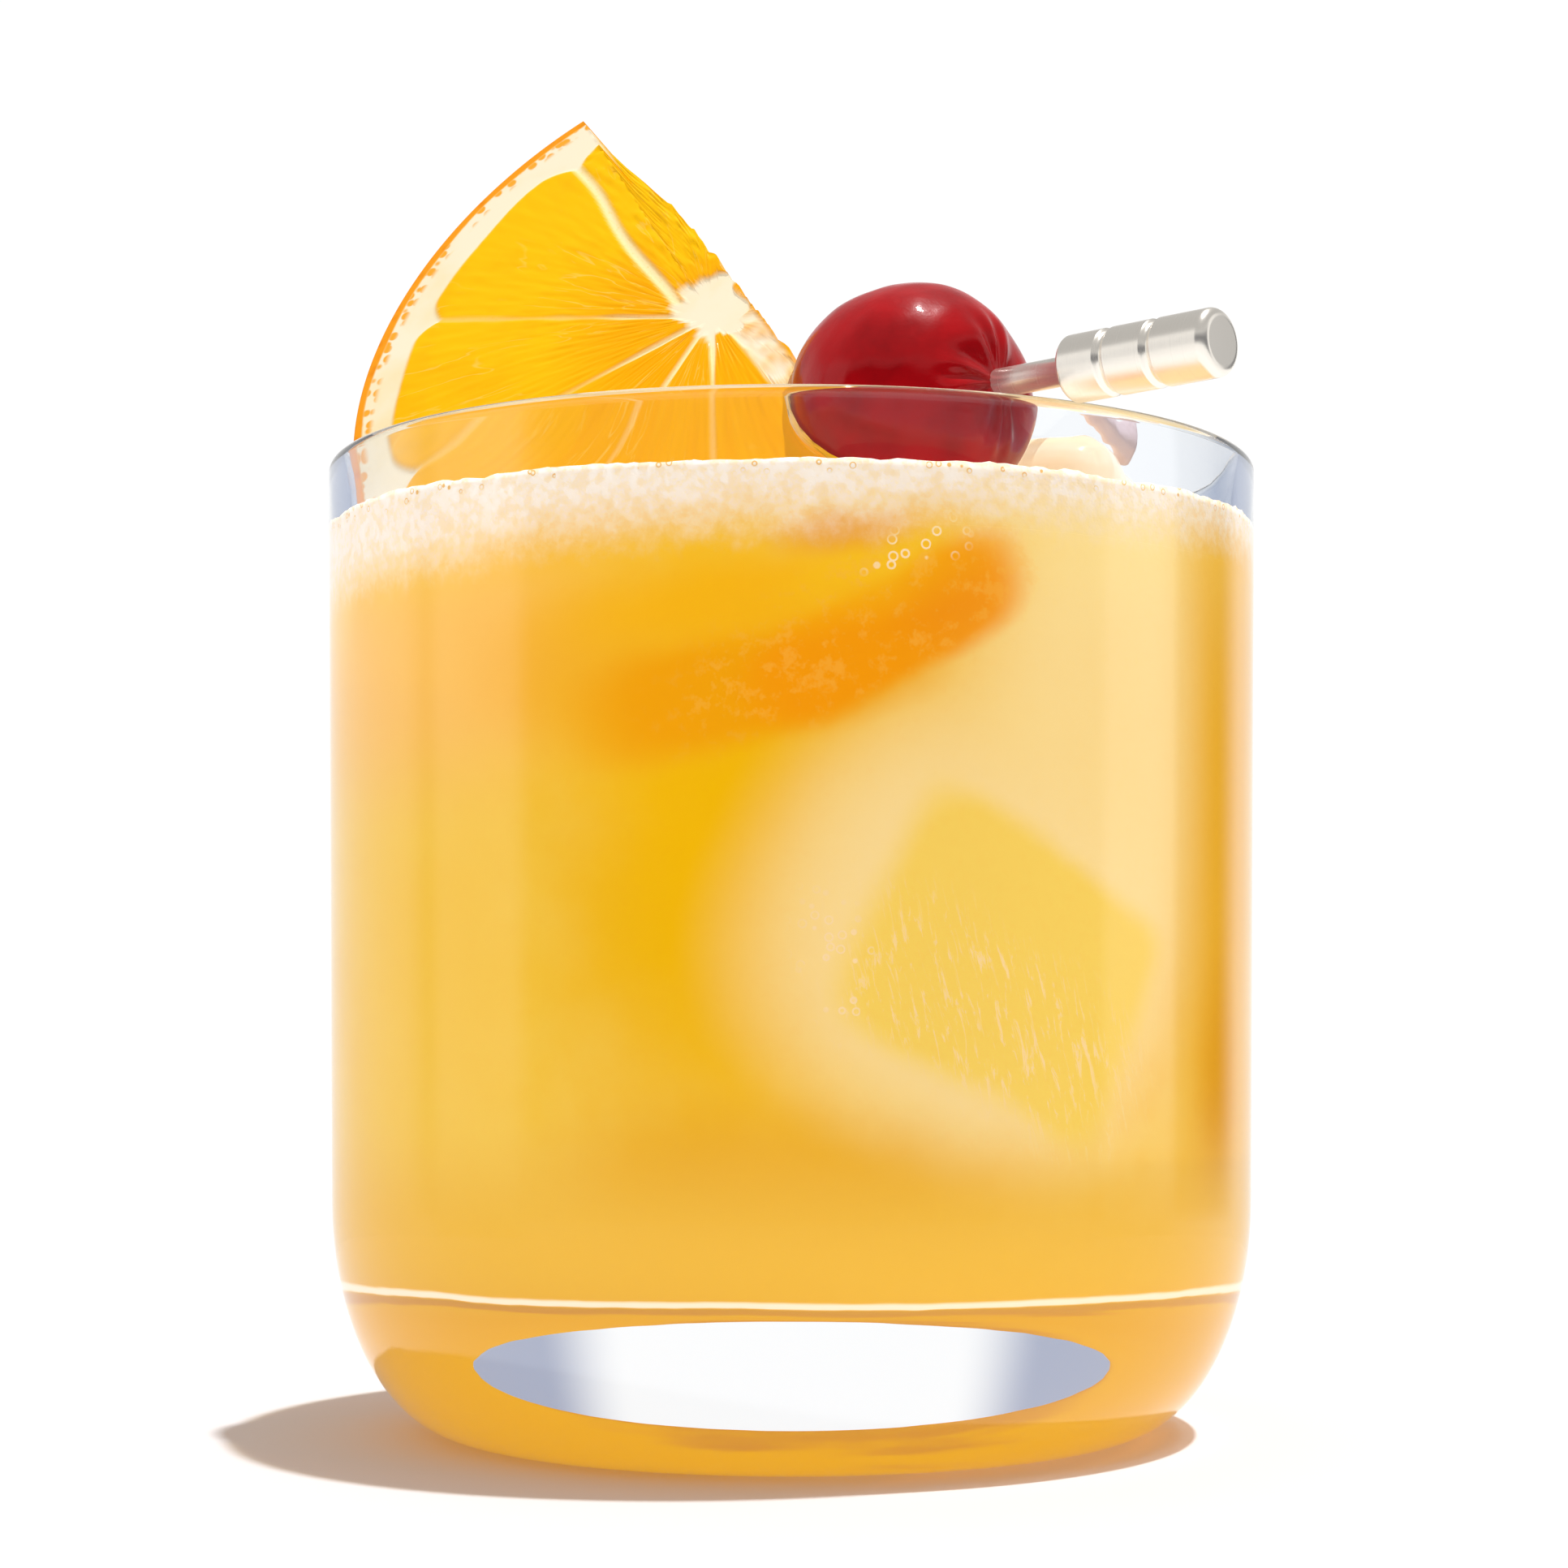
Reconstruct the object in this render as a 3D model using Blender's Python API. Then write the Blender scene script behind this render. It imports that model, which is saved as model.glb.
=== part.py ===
"""A whiskey sour punch in its rocks glass, with ice, a foam head and a garnish of orange and cherry on a steel pick.

The frame's origin is the centre of the glass's flat underside. +Z runs up the glass's axis and -Y faces the viewer.
"""

import math

import bmesh
import bpy
import numpy as np
from mathutils import Matrix, Vector

MM = 0.001
GAP = 0.3 * MM

# The glass
RIM_RADIUS = 43.5 * MM
GLASS_HEIGHT = 89.3 * MM
HIP_RADIUS = 42.5 * MM
HIP_HEIGHT = 21.75 * MM
FOOT_RADIUS = 30.4 * MM
RIM_WALL = 2.0 * MM
HIP_WALL = 2.4 * MM
FLOOR_HEIGHT = 12.0 * MM
FLOOR_DISH = 0.7 * MM
CAVITY_CORNER = 12.0 * MM
GLASS_STEPS = 64
CORNER_POINTS = 9

# The drink and its head of foam
DRINK_TOP = 78.0 * MM
FOAM_TOP = 83.3 * MM
FOAM_SWELL = 0.35 * MM
POUR_STEPS = 56

# The ice cube that stands out of the foam
ICE_SIDE = 28.0 * MM
ICE_CENTRE = Vector((18.7, -2.0, 75.6)) * MM
ICE_TURN = math.radians(-17.5)
ICE_LEAN = math.radians(2.2)
ICE_ROUND = 3.4 * MM

# The orange half wheel. Its plane is set by two directions: along the cut, and from the core to the rind.
ORANGE_CORE = Vector((-7.1, -15.2, 101.0)) * MM
ORANGE_ALONG_CUT = Vector((0.40, -0.64, -0.655))
ORANGE_TO_RIND = Vector((-0.83, 0.05, -0.55))
ORANGE_SPHERE = 37.5 * MM
ORANGE_THICKNESS = 12.0 * MM
ORANGE_FACE_TO_EQUATOR = 4.0 * MM
CUT_PAST_CORE = 1.6 * MM
PEEL_WIDTH = 4.6 * MM
CORE_WIDTH = 3.0 * MM
SEGMENTS = 10
FLESH_BULGE = 0.55 * MM
ORANGE_TURNS = 100

# The cherry and its stem
CHERRY_CENTRE = Vector((10.4, -26.1, 91.0)) * MM
CHERRY_RADIUS = 10.7 * MM
CHERRY_SQUASH = 0.975
CHERRY_DIMPLE = 1.5 * MM
CHERRY_DIMPLE_WIDTH = math.radians(32)
STEM_DIRECTION = Vector((0.80, 0.56, 0.20))
STEM_END = Vector((31.4, -3.6, 90.9)) * MM
STEM_RADIUS = 0.52 * MM
STEM_KNOB_RADIUS = 1.2 * MM
STEM_ARCH = 0.5 * MM
STEM_SIDES = 10
STEM_RINGS = 20

# The steel pick, which passes just over the rim
PICK_DIRECTION = Vector((0.758, -0.651, 0.02))
PICK_HEIGHT = 91.25 * MM
PICK_LENGTH = 80.0 * MM
PICK_SHAFT_RADIUS = 1.25 * MM
PICK_TIP_LENGTH = 9.0 * MM
HANDLE_RADIUS = 2.85 * MM
HANDLE_LENGTH = 14.6 * MM
HANDLE_END = 31.7 * MM
HANDLE_ROUND = 0.75 * MM
GROOVE_DEPTH = 0.38 * MM
GROOVE_WIDTH = 0.9 * MM
GROOVES_AT = (4.3 * MM, 8.9 * MM)
PICK_STEPS = 24


def clear_scene():
    """Removes every object, so that the scene holds the drink alone."""
    for obj in list(bpy.data.objects):
        bpy.data.objects.remove(obj, do_unlink=True)


def material(name, colour, roughness, metallic=0.0, transmission=0.0):
    """A plain Principled material."""
    made = bpy.data.materials.new(name)
    made.use_nodes = True
    shader = made.node_tree.nodes["Principled BSDF"]
    shader.inputs["Base Color"].default_value = (*colour, 1.0)
    shader.inputs["Roughness"].default_value = roughness
    shader.inputs["Metallic"].default_value = metallic
    shader.inputs["Transmission Weight"].default_value = transmission
    return made


def add_object(name, mesh, surface=None):
    """Links a new object for the mesh, with its material."""
    obj = bpy.data.objects.new(name, mesh)
    bpy.context.scene.collection.objects.link(obj)
    if surface:
        mesh.materials.append(surface)
    return obj


def hide_cutter(obj):
    """Marks an object as a cutter, which is no part of the drink."""
    obj.hide_render = True
    obj.display_type = "WIRE"
    return obj


def cut(obj, cutter, label):
    """Subtracts a cutter from an object."""
    boolean = obj.modifiers.new(label, "BOOLEAN")
    boolean.operation = "DIFFERENCE"
    boolean.solver = "EXACT"
    boolean.object = cutter


def smooth(mesh, degrees=35):
    """Shades a round mesh smooth, with its real edges sharp."""
    mesh.shade_smooth()
    mesh.set_sharp_from_angle(angle=math.radians(degrees))


def turned(name, profile, steps):
    """A mesh turned about Z from (radius, height) points that start and end on the axis."""
    bm = bmesh.new()
    points = [bm.verts.new((radius, 0.0, height)) for radius, height in profile]
    edges = [bm.edges.new(pair) for pair in zip(points, points[1:])]
    bmesh.ops.spin(
        bm, geom=points + edges, cent=(0, 0, 0), axis=(0, 0, 1),
        angle=2 * math.pi, steps=steps, use_merge=True, use_duplicate=False,
    )
    bmesh.ops.remove_doubles(bm, verts=bm.verts, dist=1e-6)
    bmesh.ops.recalc_face_normals(bm, faces=bm.faces)
    mesh = bpy.data.meshes.new(name)
    bm.to_mesh(mesh)
    bm.free()
    smooth(mesh)
    return mesh


def quarter(centre, across, up, start, end, points):
    """Points of an ellipse about centre, from one angle to another in degrees."""
    angles = np.radians(np.linspace(start, end, points))
    return [(centre[0] + across * math.cos(a), centre[1] + up * math.sin(a)) for a in angles]


def outer_radius(height):
    """The glass's outer radius on its flared wall."""
    share = (height - HIP_HEIGHT) / (GLASS_HEIGHT - HIP_HEIGHT)
    return HIP_RADIUS + (RIM_RADIUS - HIP_RADIUS) * share


def inner_radius(height):
    """The glass's inner radius on its flared wall."""
    share = (height - HIP_HEIGHT) / (GLASS_HEIGHT - HIP_HEIGHT)
    return outer_radius(height) - HIP_WALL + (HIP_WALL - RIM_WALL) * share


def cavity_profile(gap, top):
    """The cavity's outline from its floor's middle up to a height, kept a gap inside the glass."""
    corner_top = FLOOR_HEIGHT + CAVITY_CORNER
    wall = inner_radius(corner_top)
    corner = quarter(
        (wall - CAVITY_CORNER, corner_top), CAVITY_CORNER - gap, CAVITY_CORNER - gap, -88, 0, CORNER_POINTS,
    )
    floor = [(0.0, FLOOR_HEIGHT - FLOOR_DISH + gap), (corner[0][0] * 0.6, FLOOR_HEIGHT - FLOOR_DISH * 0.6 + gap)]
    return floor + corner + [(inner_radius(top) - gap, top)]


def build_glass():
    """The tumbler: a straight wall with a slight flare, a round hip and a thick solid base."""
    hip = quarter(
        (FOOT_RADIUS, HIP_HEIGHT), HIP_RADIUS - FOOT_RADIUS, HIP_HEIGHT, -90, 0, CORNER_POINTS + 3,
    )
    lip_radius = RIM_WALL / 2
    lip_height = GLASS_HEIGHT - lip_radius
    lip = quarter((RIM_RADIUS - lip_radius, lip_height), lip_radius, lip_radius, 0, 180, 7)
    inside = cavity_profile(0.0, lip_height - 2 * lip_radius)
    profile = [(0.0, 0.0)] + hip + lip + inside[::-1]
    return add_object("glass", turned("glass", profile, GLASS_STEPS), GLASS)


def rounded_cube(name, side, rounding, grow):
    """A cube with round edges, grown by a margin on every side."""
    bm = bmesh.new()
    bmesh.ops.create_cube(bm, size=side + 2 * grow)
    bmesh.ops.bevel(
        bm, geom=list(bm.edges), offset=rounding, offset_type="OFFSET", segments=4, profile=0.5, affect="EDGES",
    )
    mesh = bpy.data.meshes.new(name)
    bm.to_mesh(mesh)
    bm.free()
    smooth(mesh, 50)
    return mesh


def build_ice(name="ice_cube", grow=0.0):
    """The ice cube whose top stands clear of the foam."""
    obj = add_object(name, rounded_cube(name, ICE_SIDE, ICE_ROUND, grow), ICE)
    obj.location = ICE_CENTRE
    obj.rotation_euler = (-ICE_LEAN, ICE_LEAN / 4, ICE_TURN)
    return obj


def orange_axes():
    """The half wheel's frame: along the cut, from core to rind, and out of its shown face."""
    along = ORANGE_ALONG_CUT.normalized()
    rind = (ORANGE_TO_RIND - ORANGE_TO_RIND.dot(along) * along).normalized()
    return along, rind, rind.cross(along)


def orange_reach(angle, depth, grow):
    """How far the slice reaches from its core in one direction, at a depth behind its shown face."""
    peel = math.sqrt(ORANGE_SPHERE**2 - (depth - ORANGE_FACE_TO_EQUATOR) ** 2) + grow
    towards_cut = -math.sin(angle)
    if towards_cut <= 0:
        return peel
    return min(peel, (CUT_PAST_CORE + grow) / towards_cut)


def flesh_height(angle, reach, radius):
    """How far a cut face stands proud over the juicy segments."""
    outer = reach - PEEL_WIDTH
    if radius <= CORE_WIDTH or radius >= outer:
        return 0.0
    across = abs(math.sin(angle * SEGMENTS / 2))
    return FLESH_BULGE * min(1.0, across * 1.8) * min(1.0, (radius - CORE_WIDTH) / (4 * MM))


def orange_mesh(name, grow):
    """The thick half wheel as rings of points round the core: shown face, peel and back face."""
    peel = ORANGE_SPHERE + grow
    corner = math.asin((CUT_PAST_CORE + grow) / peel)
    arc = np.linspace(-corner, math.pi + corner, 2 * ORANGE_TURNS // 3)
    chord = np.linspace(math.pi + corner, 2 * math.pi - corner, ORANGE_TURNS // 3 + 2)[1:-1]
    angles = list(arc) + list(chord)
    along, rind, out = orange_axes()
    shares = (0.1, 0.3, 0.5, 0.7, 0.86, 0.985)
    edge = 0.5 * MM
    rows = [(share, -grow, 1) for share in shares]
    rows += [(1.0, edge - grow, 0), (1.0, ORANGE_THICKNESS / 2, 0), (1.0, ORANGE_THICKNESS - edge + grow, 0)]
    rows += [(share, ORANGE_THICKNESS + grow, -1) for share in shares[::-1]]
    points = [ORANGE_CORE + out * grow]
    for share, depth, side in rows:
        for angle in angles:
            reach = orange_reach(angle, depth, grow)
            radius = reach * share
            proud = side * flesh_height(angle, reach, radius) if grow == 0 else side * FLESH_BULGE
            spoke = math.cos(angle) * along + math.sin(angle) * rind
            points.append(ORANGE_CORE + spoke * radius + out * (proud - depth))
    points.append(ORANGE_CORE - out * (ORANGE_THICKNESS + grow))
    turns = len(angles)
    faces = [(0, 1 + (i + 1) % turns, 1 + i) for i in range(turns)]
    for row in range(len(rows) - 1):
        first = 1 + row * turns
        for i in range(turns):
            after = (i + 1) % turns
            faces.append((first + i, first + after, first + turns + after, first + turns + i))
    last = 1 + (len(rows) - 1) * turns
    faces += [(last + i, last + (i + 1) % turns, len(points) - 1) for i in range(turns)]
    mesh = bpy.data.meshes.new(name)
    mesh.from_pydata(points, [], faces)
    bm = bmesh.new()
    bm.from_mesh(mesh)
    bmesh.ops.recalc_face_normals(bm, faces=bm.faces)
    bm.to_mesh(mesh)
    bm.free()
    smooth(mesh, 40)
    return mesh


def build_orange(name="orange_half_wheel", grow=0.0):
    """The thick half wheel of orange that stands in the drink."""
    return add_object(name, orange_mesh(name, grow), ORANGE)


def dimple(direction, towards):
    """How deep the cherry's skin is drawn in, in a direction near where something enters it."""
    angle = direction.angle(towards)
    if angle >= CHERRY_DIMPLE_WIDTH:
        return 0.0
    return CHERRY_DIMPLE * 0.5 * (1 + math.cos(math.pi * angle / CHERRY_DIMPLE_WIDTH))


def build_cherry(name="cherry", grow=0.0):
    """The cherry, drawn in where the pick and the stem enter it."""
    bm = bmesh.new()
    bmesh.ops.create_uvsphere(bm, u_segments=36, v_segments=20, radius=CHERRY_RADIUS + grow)
    stem = STEM_DIRECTION.normalized()
    pick = (PICK_DIRECTION.normalized() * CHERRY_RADIUS + Vector((0, 0, PICK_HEIGHT - CHERRY_CENTRE.z))).normalized()
    for vert in bm.verts:
        direction = vert.co.normalized()
        drawn = 0.0 if grow else dimple(direction, stem) + 0.6 * dimple(direction, pick)
        vert.co -= direction * drawn
        vert.co.z *= CHERRY_SQUASH
    mesh = bpy.data.meshes.new(name)
    bm.to_mesh(mesh)
    bm.free()
    smooth(mesh, 60)
    obj = add_object(name, mesh, CHERRY)
    obj.location = CHERRY_CENTRE
    return obj


def stem_radius(share):
    """The stem's radius along its length: thin in the middle, with a knob at the free end."""
    foot = 0.35 * MM * max(0.0, 1 - share / 0.12)
    knob = math.exp(-(((1 - share) / 0.055) ** 2))
    return STEM_RADIUS + foot + (STEM_KNOB_RADIUS - STEM_RADIUS) * knob


def build_stem():
    """The cherry's stem, a thin arch from its dimple to a round knob."""
    toward = STEM_DIRECTION.normalized()
    start = CHERRY_CENTRE + toward * (CHERRY_RADIUS - CHERRY_DIMPLE + 3 * GAP)
    middle = (start + STEM_END) / 2 + Vector((0, 0, STEM_ARCH))
    run = (STEM_END - start).normalized()
    side = run.cross(Vector((0, 0, 1))).normalized()
    up = side.cross(run)
    points = []
    for ring in range(STEM_RINGS):
        share = ring / (STEM_RINGS - 1)
        share = share + 0.06 * math.sin(2 * math.pi * share)
        centre = (1 - share) ** 2 * start + 2 * share * (1 - share) * middle + share**2 * STEM_END
        for k in range(STEM_SIDES):
            angle = 2 * math.pi * k / STEM_SIDES
            points.append(centre + stem_radius(share) * (math.cos(angle) * side + math.sin(angle) * up))
    faces = [tuple(range(STEM_SIDES))[::-1]]
    for ring in range(STEM_RINGS - 1):
        first = ring * STEM_SIDES
        for k in range(STEM_SIDES):
            after = (k + 1) % STEM_SIDES
            faces.append((first + k, first + after, first + STEM_SIDES + after, first + STEM_SIDES + k))
    last = (STEM_RINGS - 1) * STEM_SIDES
    faces.append(tuple(range(last, last + STEM_SIDES)))
    mesh = bpy.data.meshes.new("cherry_stem")
    mesh.from_pydata(points, [], faces)
    bm = bmesh.new()
    bm.from_mesh(mesh)
    bmesh.ops.recalc_face_normals(bm, faces=bm.faces)
    bm.to_mesh(mesh)
    bm.free()
    smooth(mesh, 50)
    return add_object("cherry_stem", mesh, STEM)


def pick_profile():
    """The pick's (radius, length) outline from its point to the far end of its handle."""
    shaft_end = PICK_LENGTH - HANDLE_LENGTH
    profile = [(0.0, 0.0), (0.35 * MM, 0.3 * MM), (PICK_SHAFT_RADIUS, PICK_TIP_LENGTH)]
    profile += [(PICK_SHAFT_RADIUS, shaft_end)]
    small = 0.6 * MM
    profile += [(HANDLE_RADIUS - small, shaft_end), (HANDLE_RADIUS, shaft_end + small)]
    for place in GROOVES_AT:
        groove = shaft_end + place
        for k in range(5):
            across = -1 + k / 2
            depth = GROOVE_DEPTH * (1 - across**2)
            profile.append((HANDLE_RADIUS - depth, groove + across * GROOVE_WIDTH / 2))
    end = quarter(
        (HANDLE_RADIUS - HANDLE_ROUND, PICK_LENGTH - HANDLE_ROUND), HANDLE_ROUND, HANDLE_ROUND, 0, 90, 5,
    )
    return profile + end + [(0.0, PICK_LENGTH)]


def lay_along_pick(obj):
    """Places something turned about Z so that its Z runs along the pick, from the point to the handle."""
    direction = PICK_DIRECTION.normalized()
    start = Vector((CHERRY_CENTRE.x, CHERRY_CENTRE.y, PICK_HEIGHT)) + direction * (HANDLE_END - PICK_LENGTH)
    obj.matrix_world = Matrix.Translation(start) @ direction.to_track_quat("Z", "X").to_matrix().to_4x4()
    return obj


def build_pick():
    """The steel pick with its ringed handle."""
    return lay_along_pick(add_object("pick", turned("pick", pick_profile(), PICK_STEPS), STEEL))


def pick_cutter():
    """The hole that the pick's shaft makes."""
    radius = PICK_SHAFT_RADIUS + GAP
    end = PICK_LENGTH - HANDLE_LENGTH
    profile = [(0.0, -1 * MM), (radius, -1 * MM), (radius, end), (0.0, end)]
    return hide_cutter(lay_along_pick(add_object("pick_hole", turned("pick_hole", profile, 20))))


def build_drink():
    """The drink, up to the underside of its foam."""
    profile = cavity_profile(GAP, DRINK_TOP) + [(0.0, DRINK_TOP)]
    return add_object("drink", turned("drink", profile, POUR_STEPS), DRINK)


def build_foam():
    """The head of foam, which swells a little between the wall and what stands in it."""
    base, top = DRINK_TOP + GAP, FOAM_TOP
    profile = [(0.0, base), (inner_radius(base) - GAP, base), (inner_radius(top) - GAP, top)]
    for share in (0.93, 0.8, 0.6, 0.35):
        swell = FOAM_SWELL * math.cos(share * math.pi / 2)
        profile.append((inner_radius(top) * share, top - FOAM_SWELL + swell))
    profile.append((0.0, top))
    return add_object("foam", turned("foam", profile, POUR_STEPS), FOAM)


def main():
    """Builds every piece and cuts each soft one round what stands in it."""
    build_glass()
    orange, cherry = build_orange(), build_cherry()
    build_ice()
    build_stem()
    build_pick()
    drink, foam = build_drink(), build_foam()
    hole = pick_cutter()
    room_for = {
        "orange": hide_cutter(build_orange("orange_room", GAP)),
        "cherry": hide_cutter(build_cherry("cherry_room", GAP)),
        "ice": hide_cutter(build_ice("ice_room", GAP)),
    }
    cut(orange, room_for["cherry"], "cherry presses in")
    cut(orange, hole, "pick hole")
    cut(cherry, hole, "pick hole")
    for pour in (drink, foam):
        cut(pour, room_for["orange"], "orange stands in it")
        cut(pour, room_for["ice"], "ice stands in it")
    cut(foam, room_for["cherry"], "cherry sits in it")


GLASS = material("clear glass", (0.95, 0.98, 0.98), 0.0, transmission=1.0)
DRINK = material("cloudy sour", (0.95, 0.62, 0.12), 0.25)
FOAM = material("foam", (0.98, 0.86, 0.62), 0.7)
ICE = material("ice", (0.93, 0.96, 0.98), 0.08, transmission=1.0)
ORANGE = material("orange", (0.98, 0.62, 0.06), 0.4)
CHERRY = material("cherry", (0.55, 0.01, 0.02), 0.12)
STEM = material("stem", (0.5, 0.17, 0.12), 0.4)
STEEL = material("steel", (0.72, 0.69, 0.64), 0.25, metallic=1.0)

clear_scene()
main()
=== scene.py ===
"""The looks of a whiskey sour punch: clear glass, cloudy drink, foam, ice, orange, cherry and steel pick.

Every length is in metres unless its name says millimetres. The origin is the centre of the glass's flat underside,
+Z runs up the glass's axis and -Y faces the viewer. Places on the glass's wall are given as the distance round it
from the front, positive to the right, and the height.
"""

from __future__ import annotations

import logging
import math
from dataclasses import dataclass, field
from enum import Enum

import bpy
import numpy as np
from mathutils import Matrix, Vector

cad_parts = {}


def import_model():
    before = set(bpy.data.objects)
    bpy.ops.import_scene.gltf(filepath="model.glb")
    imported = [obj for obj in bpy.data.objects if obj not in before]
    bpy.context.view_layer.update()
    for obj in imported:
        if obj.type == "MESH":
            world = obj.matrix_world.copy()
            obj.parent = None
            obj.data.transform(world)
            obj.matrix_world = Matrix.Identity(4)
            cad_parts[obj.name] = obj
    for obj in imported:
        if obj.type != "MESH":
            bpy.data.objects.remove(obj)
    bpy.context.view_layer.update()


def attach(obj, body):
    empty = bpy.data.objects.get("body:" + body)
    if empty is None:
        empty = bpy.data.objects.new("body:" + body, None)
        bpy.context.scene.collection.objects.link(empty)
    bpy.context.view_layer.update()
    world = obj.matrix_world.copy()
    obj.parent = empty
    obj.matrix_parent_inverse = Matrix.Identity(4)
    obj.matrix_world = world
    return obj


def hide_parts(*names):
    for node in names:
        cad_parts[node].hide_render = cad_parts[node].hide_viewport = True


MM = 0.001
LOG = logging.getLogger("whiskey_sour_punch")
Colour = tuple[float, float, float]
Socket = bpy.types.NodeSocket


class Finish(Enum):
    """The record's material slots, one for each kind of piece."""

    GLASS = "clear_glass"
    DRINK = "cloudy_sour"
    FOAM = "foam_head"
    ICE = "ice"
    ORANGE = "orange_flesh"
    CHERRY = "cherry_skin"
    STEM = "cherry_stalk"
    STEEL = "pick_steel"


class Shape(Enum):
    """How square a tinted patch on the wall is."""

    ROUND = 2.0
    SOFT_SQUARE = 3.0
    SQUARE = 7.0


def paint(code: str) -> Colour:
    """A colour for the shaders from its usual six-digit form.

    Args:
        code: Six hexadecimal digits, two each for red, green and blue.

    Returns:
        The colour in linear light.
    """
    parts = [int(code[i : i + 2], 16) / 255 for i in (0, 2, 4)]
    return tuple(p / 12.92 if p <= 0.04045 else ((p + 0.055) / 1.055) ** 2.4 for p in parts)


class Graph:
    """A node tree with short calls for the nodes that the drink's finishes use."""

    def __init__(self, tree: bpy.types.NodeTree) -> None:
        """Wraps a node tree."""
        self.tree = tree

    def node(self, kind: str, **settings: object) -> bpy.types.Node:
        """Adds a node.

        Args:
            kind: Blender's name for the node's type, without its ShaderNode prefix.
            settings: Attributes to set on the node.

        Returns:
            The new node.
        """
        made = self.tree.nodes.new("ShaderNode" + kind)
        for name, value in settings.items():
            setattr(made, name, value)
        return made

    def feed(self, target: Socket, value: object) -> None:
        """Gives an input either a link or a plain value.

        Args:
            target: The input socket.
            value: A socket to link, a number, or a colour or vector.
        """
        if isinstance(value, bpy.types.NodeSocket):
            self.tree.links.new(value, target)
        elif isinstance(value, tuple) and len(value) == 3 and target.type == "RGBA":
            target.default_value = (*value, 1.0)
        else:
            target.default_value = value

    def math(self, kind: str, *values: object, clamp: bool = False) -> Socket:
        """The result of a Math node.

        Args:
            kind: The operation.
            values: Its one to three inputs.
            clamp: Whether the result is held between 0 and 1.

        Returns:
            The result's socket.
        """
        made = self.node("Math", operation=kind, use_clamp=clamp)
        for socket, value in zip(made.inputs, values):
            self.feed(socket, value)
        return made.outputs[0]

    def step(self, value: object, low: object, high: object) -> Socket:
        """A smooth step that is 0 at low and 1 at high.

        Args:
            value: What is measured.
            low: Where the step starts.
            high: Where it ends.

        Returns:
            The step's socket.
        """
        made = self.node("MapRange", interpolation_type="SMOOTHSTEP")
        self.feed(made.inputs["Value"], value)
        self.feed(made.inputs["From Min"], low)
        self.feed(made.inputs["From Max"], high)
        return made.outputs["Result"]

    def band(self, value: object, ends: tuple[float, float, float, float]) -> Socket:
        """A mask over a value, whose four ends are where it starts, is full, starts to fade and ends."""
        return self.math("SUBTRACT", self.step(value, ends[0], ends[1]), self.step(value, ends[2], ends[3]))

    def mix(self, amount: object, first: object, second: object, blend: str = "MIX") -> Socket:
        """One colour over another.

        Args:
            amount: How much of the second colour shows.
            first: The colour below.
            second: The colour above.
            blend: Blender's name for the way they mix.

        Returns:
            The mixed colour's socket.
        """
        made = self.node("Mix", data_type="RGBA", blend_type=blend)
        for socket, value in ((made.inputs[0], amount), (made.inputs[6], first), (made.inputs[7], second)):
            self.feed(socket, value)
        return made.outputs[2]

    def noise(
        self, place: object, scale: float, detail: float = 3.0, roughness: float = 0.5, bend: float = 0.0
    ) -> Socket:
        """The value of a Noise node.

        Args:
            place: Where it is read.
            scale: How fine it is.
            detail: How many finer layers it has.
            roughness: How strong the finer layers are.
            bend: How much it is distorted.

        Returns:
            The value's socket.
        """
        made = self.node("TexNoise")
        for name, value in (("Scale", scale), ("Detail", detail), ("Roughness", roughness), ("Distortion", bend)):
            made.inputs[name].default_value = value
        self.feed(made.inputs["Vector"], place)
        return made.outputs[0]

    def cells(self, place: object, scale: float, feature: str = "F1") -> Socket:
        """The distance value of a Voronoi node.

        Args:
            place: Where it is read.
            scale: How small its cells are.
            feature: Which of its distances is read.

        Returns:
            The distance's socket.
        """
        made = self.node("TexVoronoi", feature=feature)
        made.inputs["Scale"].default_value = scale
        self.feed(made.inputs["Vector"], place)
        return made.outputs[0]

    def joined(self, x: object, y: object, z: object = 0.0) -> Socket:
        """A vector from three values.

        Args:
            x: Its first value.
            y: Its second value.
            z: Its third value.

        Returns:
            The vector's socket.
        """
        made = self.node("CombineXYZ")
        for socket, value in zip(made.inputs, (x, y, z)):
            self.feed(socket, value)
        return made.outputs[0]

    def place(self) -> Socket:
        """Where the shaded point is in the object's own frame."""
        return self.node("TexCoord").outputs["Object"]

    def mask(self, name: str) -> Socket:
        """The value of one of the mesh's own masks."""
        return self.node("Attribute", attribute_type="GEOMETRY", attribute_name=name).outputs["Fac"]

    def relief(self, height: object, strength: float, depth_mm: float) -> Socket:
        """A normal bent by a height.

        Args:
            height: The height, from 0 to 1.
            strength: How much of it shows.
            depth_mm: How deep a height of 1 is, in millimetres.

        Returns:
            The normal's socket.
        """
        made = self.node("Bump")
        made.inputs["Strength"].default_value = strength
        made.inputs["Distance"].default_value = depth_mm * MM
        self.feed(made.inputs["Height"], height)
        return made.outputs[0]

    def group(self, tree: bpy.types.NodeTree, **values: object) -> bpy.types.Node:
        """Places a shared group.

        Args:
            tree: The group's tree.
            values: Its inputs, with underscores for the spaces in their names.

        Returns:
            The group node.
        """
        made = self.node("Group", node_tree=tree)
        for name, value in values.items():
            self.feed(made.inputs[name.replace("_", " ")], value)
        return made


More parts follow.
